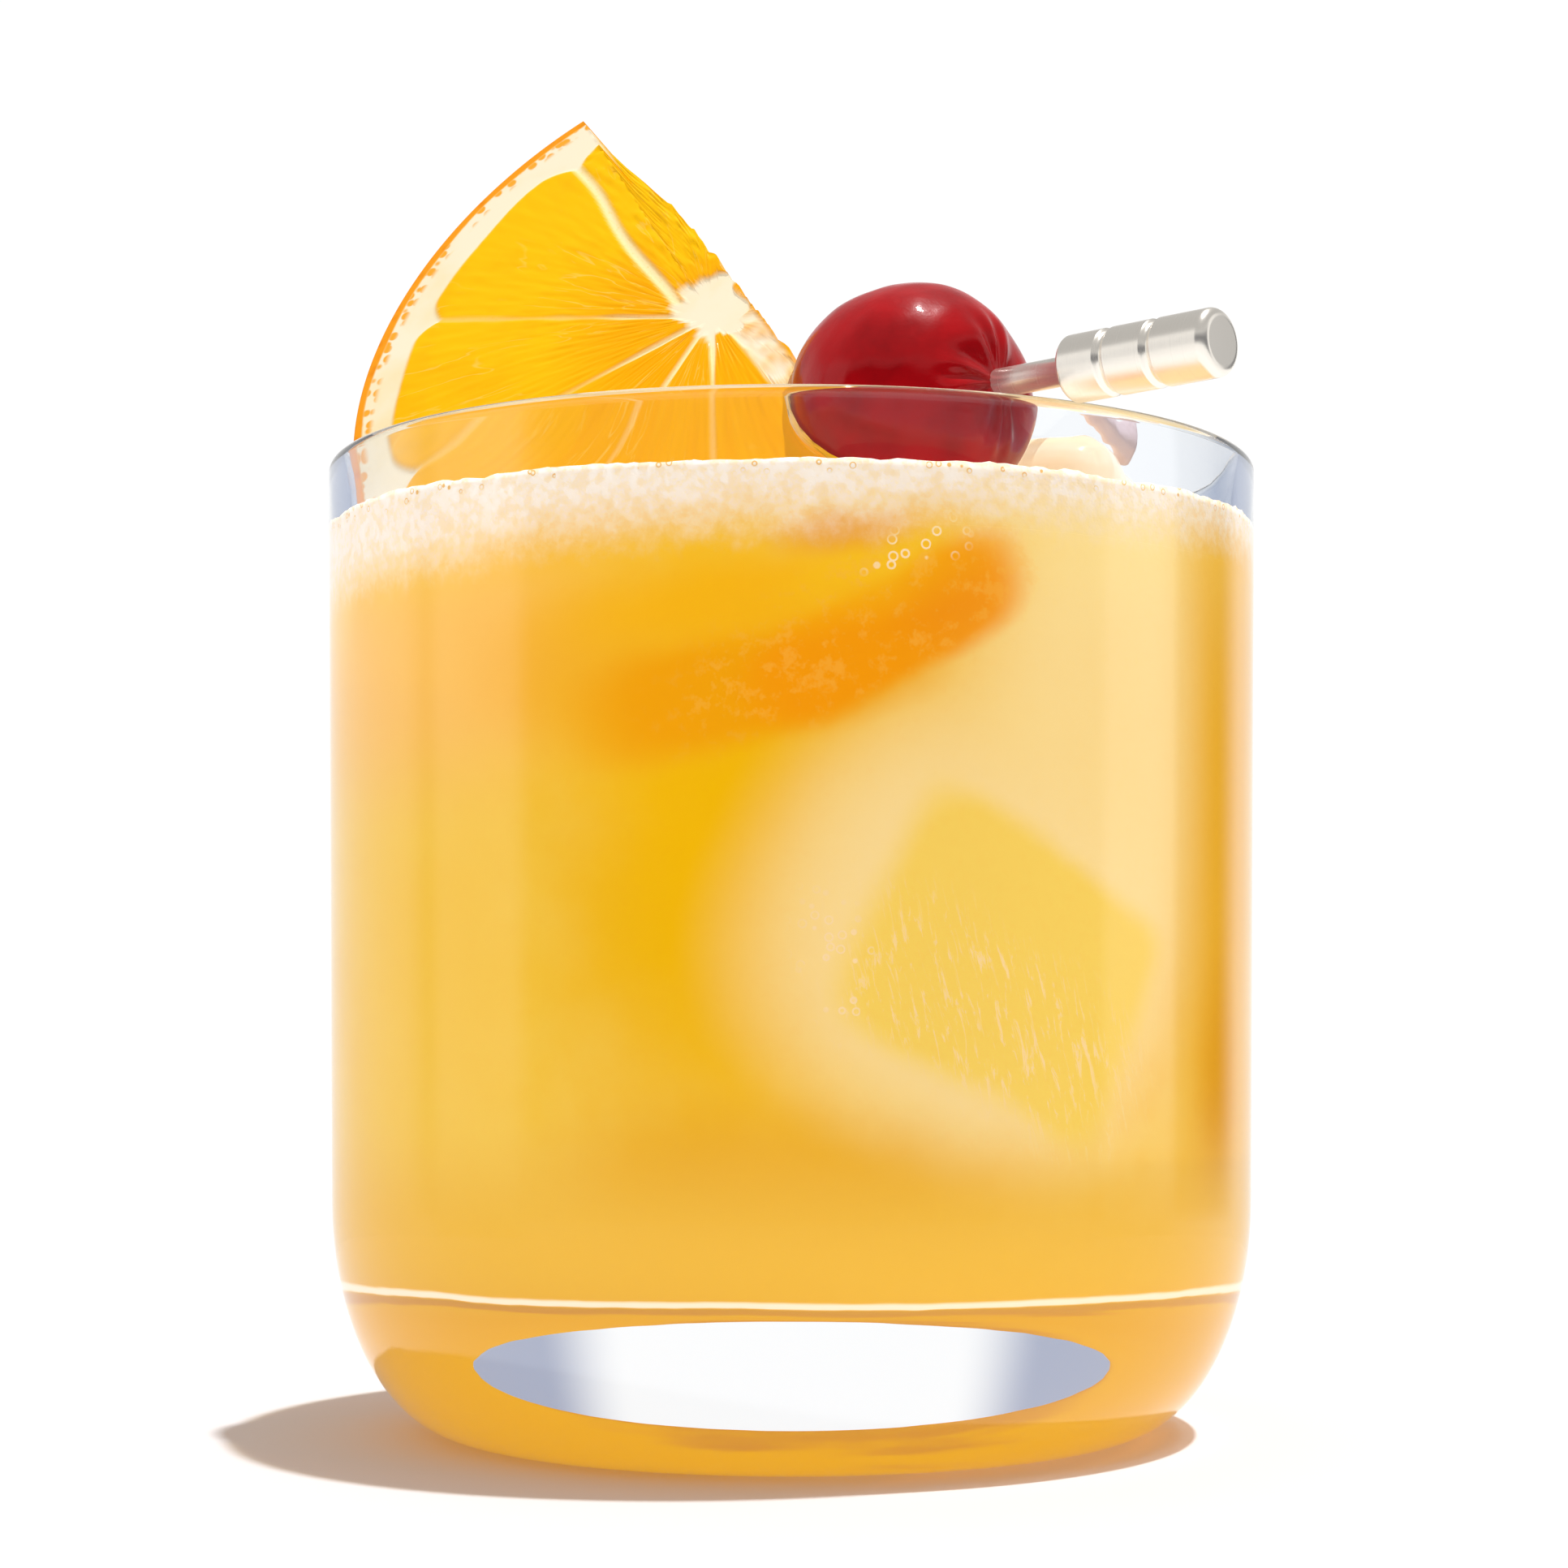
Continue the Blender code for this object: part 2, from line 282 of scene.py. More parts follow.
class SharedEffects:
    """The node groups that more than one finish uses."""

    def __init__(self) -> None:
        """Builds each group once."""
        self.wall_place = self._wall_place()
        self.soft_patch = self._soft_patch()
        self.mottling = self._mottling()

    def _start(
        self, name: str, inputs: dict[str, tuple[str, object]], outputs: dict[str, str]
    ) -> tuple[Graph, bpy.types.Node, bpy.types.Node]:
        """Starts a group with named inputs and outputs.

        Args:
            name: The group's name.
            inputs: Each input's socket type and value, by name.
            outputs: Each output's socket type, by name.

        Returns:
            The graph, its input node and its output node.
        """
        tree = bpy.data.node_groups.new(name, "ShaderNodeTree")
        for label, (kind, value) in inputs.items():
            socket = tree.interface.new_socket(label, in_out="INPUT", socket_type=kind)
            if value is not None:
                socket.default_value = value
        for label, kind in outputs.items():
            tree.interface.new_socket(label, in_out="OUTPUT", socket_type=kind)
        return Graph(tree), tree.nodes.new("NodeGroupInput"), tree.nodes.new("NodeGroupOutput")

    def _wall_place(self) -> bpy.types.NodeTree:
        """Where a point is on the glass's wall: millimetres round it from the front, and millimetres up.

        Returns:
            The group's tree.
        """
        graph, inside, outside = self._start(
            "wall place",
            {"Place": ("NodeSocketVector", None)},
            {"Round": "NodeSocketFloat", "Height": "NodeSocketFloat", "Reach": "NodeSocketFloat"},
        )
        parts = graph.node("SeparateXYZ")
        graph.feed(parts.inputs[0], inside.outputs["Place"])
        x, y, z = parts.outputs
        turn = graph.math("ARCTAN2", x, graph.math("MULTIPLY", y, -1.0))
        graph.feed(outside.inputs["Round"], graph.math("MULTIPLY", turn, 43.0))
        graph.feed(outside.inputs["Height"], graph.math("MULTIPLY", z, 1000.0))
        square = graph.math("ADD", graph.math("MULTIPLY", x, x), graph.math("MULTIPLY", y, y))
        graph.feed(outside.inputs["Reach"], graph.math("MULTIPLY", graph.math("SQRT", square), 1000.0))
        return graph.tree

    def _soft_patch(self) -> bpy.types.NodeTree:
        """A soft-edged patch on the wall: a sunk thing that shows through, or a painted reflection.

        Returns:
            The group's tree.
        """
        names = (
            "Round", "Height", "Middle Round", "Middle Height", "Half Width", "Half Height",
            "Turn", "Shape", "Softness",
        )
        graph, inside, outside = self._start(
            "soft patch", {name: ("NodeSocketFloat", 1.0) for name in names}, {"Mask": "NodeSocketFloat"},
        )
        across = graph.math("SUBTRACT", inside.outputs["Round"], inside.outputs["Middle Round"])
        up = graph.math("SUBTRACT", inside.outputs["Height"], inside.outputs["Middle Height"])
        cos = graph.math("COSINE", inside.outputs["Turn"])
        sin = graph.math("SINE", inside.outputs["Turn"])
        along = graph.math("ADD", graph.math("MULTIPLY", across, cos), graph.math("MULTIPLY", up, sin))
        aside = graph.math("SUBTRACT", graph.math("MULTIPLY", up, cos), graph.math("MULTIPLY", across, sin))
        power = inside.outputs["Shape"]
        reach = []
        for value, size in ((along, "Half Width"), (aside, "Half Height")):
            share = graph.math("ABSOLUTE", graph.math("DIVIDE", value, inside.outputs[size]))
            reach.append(graph.math("POWER", share, power))
        distance = graph.math("POWER", graph.math("ADD", *reach), graph.math("DIVIDE", 1.0, power))
        low = graph.math("ADD", 1.0, inside.outputs["Softness"])
        high = graph.math("SUBTRACT", 1.0, inside.outputs["Softness"])
        flipped = graph.step(distance, high, low)
        graph.feed(outside.inputs["Mask"], graph.math("SUBTRACT", 1.0, flipped))
        return graph.tree

    def _mottling(self) -> bpy.types.NodeTree:
        """Cloudy unevenness: a broad value and a fine one.

        Returns:
            The group's tree.
        """
        graph, inside, outside = self._start(
            "mottling",
            {
                "Place": ("NodeSocketVector", None),
                "Broad Scale": ("NodeSocketFloat", 60.0),
                "Fine Scale": ("NodeSocketFloat", 900.0),
            },
            {"Broad": "NodeSocketFloat", "Fine": "NodeSocketFloat"},
        )
        for label in ("Broad", "Fine"):
            value = graph.noise(inside.outputs["Place"], 1.0, 4.0, 0.55)
            graph.feed(value.node.inputs["Scale"], inside.outputs[label + " Scale"])
            graph.feed(outside.inputs[label], value)
        return graph.tree


def new_material(name: str) -> tuple[bpy.types.Material, Graph, bpy.types.Node, bpy.types.Node]:
    """Starts a material.

    Args:
        name: Its name.

    Returns:
        The material, its graph, its Principled shader and its output node.
    """
    made = bpy.data.materials.new(name)
    made.use_nodes = True
    nodes = made.node_tree.nodes
    return made, Graph(made.node_tree), nodes["Principled BSDF"], nodes["Material Output"]


def let_lamps_through(graph: Graph, shader: bpy.types.Node, output: bpy.types.Node, tint: Colour) -> None:
    """Makes a clear material cast no dark shadow.

    Args:
        graph: The material's graph.
        shader: The node of the shader that the eye sees.
        output: Its output node.
        tint: The colour of the light that passes.
    """
    clear = graph.node("BsdfTransparent")
    clear.inputs["Color"].default_value = (*tint, 1.0)
    both = graph.node("MixShader")
    graph.feed(both.inputs[0], graph.node("LightPath").outputs["Is Shadow Ray"])
    graph.feed(both.inputs[1], shader.outputs[0])
    graph.feed(both.inputs[2], clear.outputs[0])
    graph.feed(output.inputs["Surface"], both.outputs[0])


@dataclass(frozen=True)
class ClearGlassFinish:
    """Clear polished glass with the faintest waviness of a pressed tumbler."""

    refraction: float = 1.5
    wave_depth_mm: float = 0.05
    wave_scale: float = 28.0

    def build(self, effects: SharedEffects) -> bpy.types.Material:
        """The glass's material.

        Args:
            effects: The shared node groups.

        Returns:
            The material.
        """
        made, graph, shader, output = new_material("clear polished glass")
        mottled = graph.group(effects.mottling, Place=graph.place(), Broad_Scale=self.wave_scale, Fine_Scale=700.0)
        shader.inputs["Transmission Weight"].default_value = 1.0
        shader.inputs["IOR"].default_value = self.refraction
        graph.feed(shader.inputs["Base Color"], graph.mix(mottled.outputs["Broad"], paint("FBFDFF"), paint("F7FBFF")))
        graph.feed(shader.inputs["Roughness"], graph.math("MULTIPLY", mottled.outputs["Fine"], 0.006))
        graph.feed(shader.inputs["Normal"], graph.relief(mottled.outputs["Broad"], 0.5, self.wave_depth_mm))
        let_lamps_through(graph, shader, output, (0.97, 0.98, 1.0))
        return made


@dataclass(frozen=True)
class Patch:
    """A tinted patch on the wall: its place and size in millimetres, its turn in degrees and how much of it shows."""

    tint: str
    middle: tuple[float, float]
    half: tuple[float, float]
    turn: float = 0.0
    softness: float = 0.5
    strength: float = 1.0
    shape: Shape = Shape.ROUND


@dataclass(frozen=True)
class PourTones:
    """The cloudy drink's colours at the wall, where sunk things show through, and its painted light and reflections.
    """

    gold: str = "F4C01C"
    amber: str = "EFA91F"
    pale: str = "FAD866"
    low_gold: str = "E6B328"
    foam: str = "FEF7EC"
    foam_shade: str = "FAE5C4"
    top_shade: str = "E3C68C"
    top_light: str = "EFDDB4"
    pulp: str = "FCBE4A"
    bubble_light: str = "FFE9C0"
    ice_bubble: str = "FFE7B4"
    bubble_edge: str = "E6B468"
    patches: tuple[Patch, ...] = (
        # Painted reflection: the pale zone at the left stands for the bright box at the left mirrored in the glass.
        Patch("FAD346", (-36, 40), (19, 38), 0, 0.6, 0.85),
        Patch("FDC65C", (-34, 68), (28, 9), 4, 0.7, 0.8),
        Patch("F5C200", (-5, 50), (13, 26), 6, 0.7, 0.95),
        Patch("EEB400", (0, 24.5), (18, 6), 0, 0.7, 0.9),
        Patch("FEE8A0", (31, 62), (16, 26), -3, 0.55, 0.9, Shape.SOFT_SQUARE),
        Patch("FDE89C", (12, 56), (12, 6), 42, 0.8, 0.5),
        Patch("FEE8A2", (16.0, 43), (18, 14.5), -28, 0.42, 0.95, Shape.SOFT_SQUARE),
        Patch("FADA50", (20.0, 42.0), (14.0, 10.5), -28, 0.14, 0.8, Shape.SQUARE),
        # Painted reflection: the darker strip at the right edge stands for a dark side of the studio mirrored in the
        # glass.
        Patch("EFB61E", (50, 46), (9, 40), 0, 0.75, 0.95, Shape.SQUARE),
        Patch("E09808", (47.5, 31), (4, 10), 0, 0.8, 0.5),
        Patch("F5B61E", (-15, 64.5), (12, 5.0), -8, 0.7, 0.7),
        Patch("F4A802", (-3, 65.0), (14, 4.8), 12, 0.35, 0.9, Shape.SOFT_SQUARE),
        Patch("F8A004", (8.0, 69.0), (12.5, 4.4), 27, 0.22, 0.92, Shape.SOFT_SQUARE),
        Patch("F29008", (14, 72), (5, 3.2), 30, 0.7, 0.5),
        Patch("F9BC10", (-4, 72.2), (15, 3.2), 8, 0.7, 0.9),
        Patch("FAC61E", (7, 75.6), (7, 2.2), 24, 0.7, 0.8),
        Patch("E89A34", (4.5, 77.6), (5, 1.5), 5, 0.8, 0.7),
    )
    streak_tint: str = "FFE5A6"
    streak_middle: tuple[float, float] = (17.5, 38.0)
    streak_half: tuple[float, float] = (14.5, 6.5)
    low_light: float = 1.46
    turn_shade: Colour = (0.5, 0.22, 0.08)
    turn_light: Colour = (2.1, 2.0, 1.85)
    turn_dark: tuple[float, float, float, float] = (14.7, 14.85, 15.1, 15.3)
    turn_bright: tuple[float, float, float, float] = (15.2, 15.35, 15.55, 15.85)
    foam_edge: float = 79.1
    foam_slope: float = 0.045

    def patch(
        self, graph: Graph, effects: SharedEffects, wall: bpy.types.Node, patch: Patch, wobble: object
    ) -> Socket:
        """The mask of one patch.

        Args:
            graph: The graph that it is placed in.
            effects: The shared node groups.
            wall: The group node that gives the place on the wall.
            patch: The patch.
            wobble: A value that makes its edge uneven.

        Returns:
            The mask's socket.
        """
        made = graph.group(
            effects.soft_patch,
            Round=wall.outputs["Round"],
            Height=graph.math("ADD", wall.outputs["Height"], wobble),
            Middle_Round=patch.middle[0],
            Middle_Height=patch.middle[1],
            Half_Width=patch.half[0],
            Half_Height=patch.half[1],
            Turn=math.radians(patch.turn),
            Shape=patch.shape.value,
            Softness=patch.softness,
        )
        return graph.math("MULTIPLY", made.outputs["Mask"], patch.strength)

    def tree(self, effects: SharedEffects) -> bpy.types.NodeTree:
        """The group that gives the pour's colour and where it is foam.

        Args:
            effects: The shared node groups.

        Returns:
            The group's tree, with the outputs Tone, Foam, Fine and Light, the painted glow: the tone as bright as it
            shines through.
        """
        tree = bpy.data.node_groups.new("pour tones", "ShaderNodeTree")
        tree.interface.new_socket("Place", in_out="INPUT", socket_type="NodeSocketVector")
        for label, kind in (("Tone", "Color"), ("Foam", "Float"), ("Fine", "Float"), ("Light", "Color")):
            tree.interface.new_socket(label, in_out="OUTPUT", socket_type="NodeSocket" + kind)
        graph = Graph(tree)
        place = tree.nodes.new("NodeGroupInput").outputs["Place"]
        outside = tree.nodes.new("NodeGroupOutput")
        wall = graph.group(effects.wall_place, Place=place)
        mottled = graph.group(effects.mottling, Place=place, Broad_Scale=45.0, Fine_Scale=1100.0)
        broad, fine = mottled.outputs["Broad"], mottled.outputs["Fine"]
        tone = graph.mix(graph.step(broad, 0.35, 0.7), paint(self.gold), paint(self.pale))
        low = graph.math("SUBTRACT", 1.0, graph.step(wall.outputs["Height"], 18.0, 30.0))
        wobble = graph.math("MULTIPLY", graph.math("SUBTRACT", broad, 0.5), 5.0)
        for patch in self.patches:
            tone = graph.mix(self.patch(graph, effects, wall, patch, wobble), tone, paint(patch.tint))
        tone = graph.mix(graph.math("MULTIPLY", low, 0.85), tone, paint(self.low_gold))
        near = self.patch(graph, effects, wall, Patch("", (5.0, 68.6), (17.0, 6.0), 24, 0.3), wobble)
        grain = graph.step(graph.noise(place, 620.0, 3.0, 0.7), 0.5, 0.66)
        tone = graph.mix(graph.math("MULTIPLY", graph.math("MULTIPLY", grain, near), 0.4), tone, paint(self.pulp))
        tone = graph.mix(self._streaks(graph, effects, wall), tone, paint(self.streak_tint))
        grain = graph.math("MULTIPLY", graph.math("SUBTRACT", fine, 0.5), 0.22)
        tone = graph.mix(graph.math("ABSOLUTE", grain), tone, paint(self.amber))
        foam = self._foam(graph, wall, place, broad)
        shade = graph.mix(graph.step(fine, 0.35, 0.65), paint(self.foam_shade), paint(self.foam))
        tone = graph.mix(foam, tone, shade)
        top = graph.step(graph.math("ADD", wall.outputs["Height"], graph.math("MULTIPLY", broad, 2.0)), 82.6, 83.9)
        bubbles = graph.math("MULTIPLY", self._bubbles(graph, place, 1150.0, 0.55), top)
        tone = graph.mix(bubbles, tone, paint(self.bubble_edge))
        near = self.patch(graph, effects, wall, Patch("", (10.5, 75.8), (4.2, 1.7), 12, 0.5), wobble)
        bubbles = graph.math("MULTIPLY", self._bubbles(graph, place, 800.0, 0.2), near)
        tone = graph.mix(bubbles, tone, paint(self.bubble_light))
        near = self.patch(graph, effects, wall, Patch("", (4.0, 42.5), (3.0, 5.0), 20, 0.5), wobble)
        bubbles = graph.math("MULTIPLY", self._bubbles(graph, place, 900.0, 0.5), near)
        tone = graph.mix(bubbles, tone, paint(self.ice_bubble))
        inland = graph.math("SUBTRACT", 1.0, graph.step(wall.outputs["Reach"], 38.5, 41.2))
        froth = graph.step(graph.noise(place, 140.0, 5.0, 0.65), 0.35, 0.65)
        above = graph.mix(froth, paint(self.top_shade), paint(self.top_light))
        # Painted light: low down the glow is a brightened gold.
        deep = paint(self.low_gold)
        light = graph.mix(graph.math("MULTIPLY", low, 0.9), tone, tuple(value * self.low_light for value in deep))
        # Painted shade and painted highlight: a dark line and a bright line in the glow where the floor turns up into
        # the wall.
        turn = graph.math("MULTIPLY_ADD", broad, 1.0, wall.outputs["Height"])
        light = graph.mix(graph.math("MULTIPLY", graph.band(turn, self.turn_dark), 0.7), light, self.turn_shade)
        light = graph.mix(graph.math("MULTIPLY", graph.band(turn, self.turn_bright), 0.75), light, self.turn_light)
        graph.feed(outside.inputs["Tone"], graph.mix(graph.math("MULTIPLY", inland, foam), tone, above))
        graph.feed(outside.inputs["Light"], graph.mix(graph.math("MULTIPLY", inland, foam), light, (0.0, 0.0, 0.0)))
        graph.feed(outside.inputs["Foam"], foam)
        graph.feed(outside.inputs["Fine"], fine)
        return tree

    def _bubbles(self, graph: Graph, place: Socket, scale: float, share: float) -> Socket:
        """The mask of the thin outlines of scattered bubbles.

        Args:
            graph: The graph that they are placed in.
            place: The shaded point.
            scale: How small the bubbles are.
            share: The share of places that stay without one.

        Returns:
            The mask's socket.
        """
        made = graph.node("TexVoronoi", feature="F1")
        made.inputs["Scale"].default_value = scale
        made.inputs["Randomness"].default_value = 0.8
        graph.feed(made.inputs["Vector"], place)
        ring = graph.band(made.outputs["Distance"], (0.2, 0.27, 0.3, 0.38))
        parts = graph.node("SeparateColor")
        graph.feed(parts.inputs[0], made.outputs["Color"])
        return graph.math("MULTIPLY", ring, graph.step(parts.outputs[0], share, share + 0.05))

    def _streaks(self, graph: Graph, effects: SharedEffects, wall: bpy.types.Node) -> Socket:
        """The mask of the fine white streaks that rise in the sunk ice.

        Args:
            graph: The graph that they are placed in.
            effects: The shared node groups.
            wall: The group node that gives the place on the wall.

        Returns:
            The mask's socket.
        """
        area = Patch("", self.streak_middle, self.streak_half, -27, 0.45, 1.0, Shape.SOFT_SQUARE)
        mask = self.patch(graph, effects, wall, area, 0.0)
        tilt = math.radians(14)
        across = graph.math("MULTIPLY", wall.outputs["Round"], math.cos(tilt))
        across = graph.math("ADD", across, graph.math("MULTIPLY", wall.outputs["Height"], math.sin(tilt)))
        along = graph.math("MULTIPLY", wall.outputs["Height"], 0.16)
        streak = graph.noise(graph.joined(across, along), 1.7, 5.0, 0.75, 0.7)
        return graph.math("MULTIPLY", mask, graph.step(streak, 0.53, 0.64))

    def _foam(self, graph: Graph, wall: bpy.types.Node, place: Socket, broad: Socket) -> Socket:
        """The mask of the foam, which fades down into the drink and is thicker at the left.

        Args:
            graph: The graph that it is placed in.
            wall: The group node that gives the place on the wall.
            place: The shaded point.
            broad: The broad mottling.

        Returns:
            The mask's socket.
        """
        across = graph.math("SINE", graph.math("DIVIDE", wall.outputs["Round"], 43.0))
        edge = graph.math("MULTIPLY_ADD", across, 43.0 * self.foam_slope, self.foam_edge)
        ragged = graph.noise(place, 520.0, 5.0, 0.7)
        rough = graph.math("ADD", graph.math("MULTIPLY", broad, 3.0), graph.math("MULTIPLY", ragged, 4.0))
        height = graph.math("ADD", wall.outputs["Height"], graph.math("SUBTRACT", rough, 3.5))
        above = graph.math("SUBTRACT", height, edge)
        return graph.step(above, -3.6, 3.2)


@dataclass(frozen=True)
class PourFinish:
    """The cloudy drink or its head of fine cream-coloured foam, with a painted glow for the light that it scatters.
    """

    name: str
    bubble_scale: float = 2600.0
    glow: float = 0.45
    passing: Colour = (0.3, 0.17, 0.03)
    bounced: str = "DC8E20"

    def build(self, tones: bpy.types.NodeTree) -> bpy.types.Material:
        """The pour's material.

        Args:
            tones: The group that gives the pour's colour.

        Returns:
            The material.
        """
        made, graph, shader, output = new_material(self.name)
        place = graph.place()
        pour = graph.group(tones, Place=place)
        small = graph.step(graph.cells(place, self.bubble_scale), 0.0, 0.5)
        large = graph.step(graph.cells(place, self.bubble_scale * 0.4), 0.1, 0.35)
        bubbles = graph.math("MULTIPLY", small, large)
        open_ones = graph.math("MULTIPLY", graph.math("SUBTRACT", 1.0, bubbles), pour.outputs["Foam"])
        tone = graph.mix(graph.math("MULTIPLY", open_ones, 0.25), pour.outputs["Tone"], paint("F0C47C"))
        graph.feed(shader.inputs["Base Color"], tone)
        # Painted glow: the pour's Light colour shines as emission, standing in for the light that it scatters.
        graph.feed(shader.inputs["Emission Color"], pour.outputs["Light"])
        shader.inputs["Emission Strength"].default_value = self.glow
        shader.inputs["Roughness"].default_value = 0.6
        shader.inputs["Specular IOR Level"].default_value = 0.0
        depth = graph.math("MULTIPLY_ADD", bubbles, pour.outputs["Foam"], pour.outputs["Fine"])
        graph.feed(shader.inputs["Normal"], graph.relief(depth, 0.2, 0.1))
        # Painted bounce light: rays that have already bounced off a diffuse surface see the pour as a flat glow of
        # this colour, which tints the floor near the glass.
        bounced = graph.node("Emission")
        bounced.inputs["Color"].default_value = (*paint(self.bounced), 1.0)
        seen = graph.node("MixShader")
        graph.feed(seen.inputs[0], graph.math("MINIMUM", graph.node("LightPath").outputs["Diffuse Depth"], 1.0))
        graph.feed(seen.inputs[1], shader.outputs[0])
        graph.feed(seen.inputs[2], bounced.outputs[0])
        let_lamps_through(graph, seen, output, self.passing)
        made.cycles.emission_sampling = "NONE"
        return made


@dataclass(frozen=True)
class IceFinish:
    """Wet ice, clear at its skin and clouded, with a painted glow of the drink's gold inside."""

    refraction: float = 1.31
    glow: float = 0.25
    skin: str = "FDEED2"
    skin_cloud: str = "FFF8EA"
    inside: str = "FADDB0"
    inside_cloud: str = "FCEACC"

    def build(self, effects: SharedEffects) -> bpy.types.Material:
        """The ice's material.

        Args:
            effects: The shared node groups.

        Returns:
            The material.
        """
        made, graph, shader, output = new_material("wet ice")
        place = graph.place()
        mottled = graph.group(effects.mottling, Place=place, Broad_Scale=90.0, Fine_Scale=700.0)
        cloud = graph.step(mottled.outputs["Broad"], 0.35, 0.7)
        graph.feed(shader.inputs["Base Color"], graph.mix(cloud, paint(self.skin), paint(self.skin_cloud)))
        # Painted glow: the gold inside colours shine as emission, for light that the drink sends into the ice.
        graph.feed(shader.inputs["Emission Color"], graph.mix(cloud, paint(self.inside), paint(self.inside_cloud)))
        shader.inputs["Emission Strength"].default_value = self.glow
        made.cycles.emission_sampling = "NONE"
        shader.inputs["Transmission Weight"].default_value = 0.35
        shader.inputs["IOR"].default_value = self.refraction
        graph.feed(shader.inputs["Roughness"], graph.math("MULTIPLY_ADD", mottled.outputs["Fine"], 0.2, 0.02))
        graph.feed(shader.inputs["Normal"], graph.relief(mottled.outputs["Broad"], 0.4, 0.6))
        let_lamps_through(graph, shader, output, (0.95, 0.9, 0.75))
        return made


@dataclass(frozen=True)
class OrangeFinish:
    """Cut orange: juicy flesh with membranes, pale pith and a thin pored peel."""

    glow: float = 0.32
    flesh: str = "FAAE02"
    flesh_deep: str = "F8A200"
    flesh_light: str = "FEC606"
    membrane: str = "FFE9B0"
    fibre: str = "FFE27A"
    pith: str = "F8E9CB"
    pith_shade: str = "F2DCA8"
    peel: str = "F49A1C"
    peel_deep: str = "EC8A12"
    gland: str = "F3A834"

    def build(self, effects: SharedEffects) -> bpy.types.Material:
        """The orange's material.

        Args:
            effects: The shared node groups.

        Returns:
            The material.
        """
        made, graph, shader, _ = new_material("cut orange")
        place = graph.place()
        polar = graph.node("UVMap", uv_map="polar").outputs[0]
        mottled = graph.group(effects.mottling, Place=place, Broad_Scale=110.0, Fine_Scale=900.0)
        flesh = self._flesh(graph, polar, mottled)
        membrane = graph.mask("membrane")
        fibre = graph.noise(polar, 90.0, 4.0, 0.6)
        line = graph.math("MULTIPLY", membrane, graph.step(fibre, 0.1, 0.5), clamp=True)
        tone = graph.mix(line, flesh, paint(self.membrane))
        pith_mask = graph.mask("pith")
        pith = graph.mix(graph.step(mottled.outputs["Broad"], 0.4, 0.8), paint(self.pith), paint(self.pith_shade))
        tone = graph.mix(pith_mask, tone, pith)
        tone = graph.mix(self._glands(graph, place), tone, paint(self.gland))
        pores = graph.step(graph.cells(place, 620.0), 0.0, 0.5)
        peel = graph.mix(graph.math("SUBTRACT", 1.0, pores), paint(self.peel), paint(self.peel_deep))
        tone = graph.mix(graph.mask("peel"), tone, peel)
        graph.feed(shader.inputs["Base Color"], tone)
        # Painted glow: the orange's colours also shine as emission, as if lit through the flesh.
        graph.feed(shader.inputs["Emission Color"], tone)
        shader.inputs["Emission Strength"].default_value = self.glow
        made.cycles.emission_sampling = "NONE"
        wet = graph.math("SUBTRACT", 1.0, pith_mask)
        graph.feed(shader.inputs["Roughness"], graph.math("MULTIPLY_ADD", pith_mask, 0.3, 0.4))
        shader.inputs["Specular IOR Level"].default_value = 0.03
        graph.feed(shader.inputs["Coat Weight"], graph.math("MULTIPLY", wet, 0.1))
        shader.inputs["Coat Roughness"].default_value = 0.06
        sacs = self._sacs(graph, polar)
        skin = graph.math("MULTIPLY", pores, graph.mask("peel"))
        height = graph.math("ADD", graph.math("MULTIPLY", sacs, wet), graph.math("MULTIPLY", skin, 1.2))
        graph.feed(shader.inputs["Normal"], graph.relief(height, 0.15, 0.2))
        return made

    def _sacs(self, graph: Graph, polar: Socket) -> Socket:
        """The long juice sacs that run from the rind to the core.

        Args:
            graph: The material's graph.
            polar: The slice's polar map.

        Returns:
            The socket of a value that changes from sac to sac.
        """
        parts = graph.node("SeparateXYZ")
        graph.feed(parts.inputs[0], polar)
        stretched = graph.joined(parts.outputs[0], graph.math("MULTIPLY", parts.outputs[1], 0.3))
        return graph.noise(stretched, 9.0, 3.0, 0.5, 0.5)

    def _flesh(self, graph: Graph, polar: Socket, mottled: bpy.types.Node) -> Socket:
        """The flesh's colour.

        Args:
            graph: The material's graph.
            polar: The slice's polar map.
            mottled: The mottling group node.

        Returns:
            The colour's socket.
        """
        sacs = self._sacs(graph, polar)
        juicy = graph.math("MULTIPLY_ADD", graph.step(sacs, 0.3, 0.65), 0.45, 0.5)
        tone = graph.mix(juicy, paint(self.flesh_deep), paint(self.flesh))
        # Painted light: where the glow mask lies, the flesh is painted brighter.
        tone = graph.mix(graph.math("MULTIPLY", graph.mask("glow"), 0.75), tone, paint(self.flesh_light))
        fibre = graph.math("ABSOLUTE", graph.math("SUBTRACT", sacs, 0.54))
        fibre = graph.math("SUBTRACT", 1.0, graph.step(fibre, 0.0, 0.02))
        patchy = graph.step(mottled.outputs["Broad"], 0.45, 0.62)
        tone = graph.mix(graph.math("MULTIPLY", graph.math("MULTIPLY", fibre, patchy), 0.4), tone, paint(self.fibre))
        return graph.mix(graph.math("MULTIPLY", patchy, 0.25), tone, paint(self.flesh_deep))

    def _glands(self, graph: Graph, place: Socket) -> Socket:
        """The oil glands that dot the inner side of the peel."""
        dots = graph.math("SUBTRACT", 1.0, graph.step(graph.cells(place, 850.0), 0.36, 0.54))
        return graph.math("MULTIPLY", dots, graph.mask("glands"))


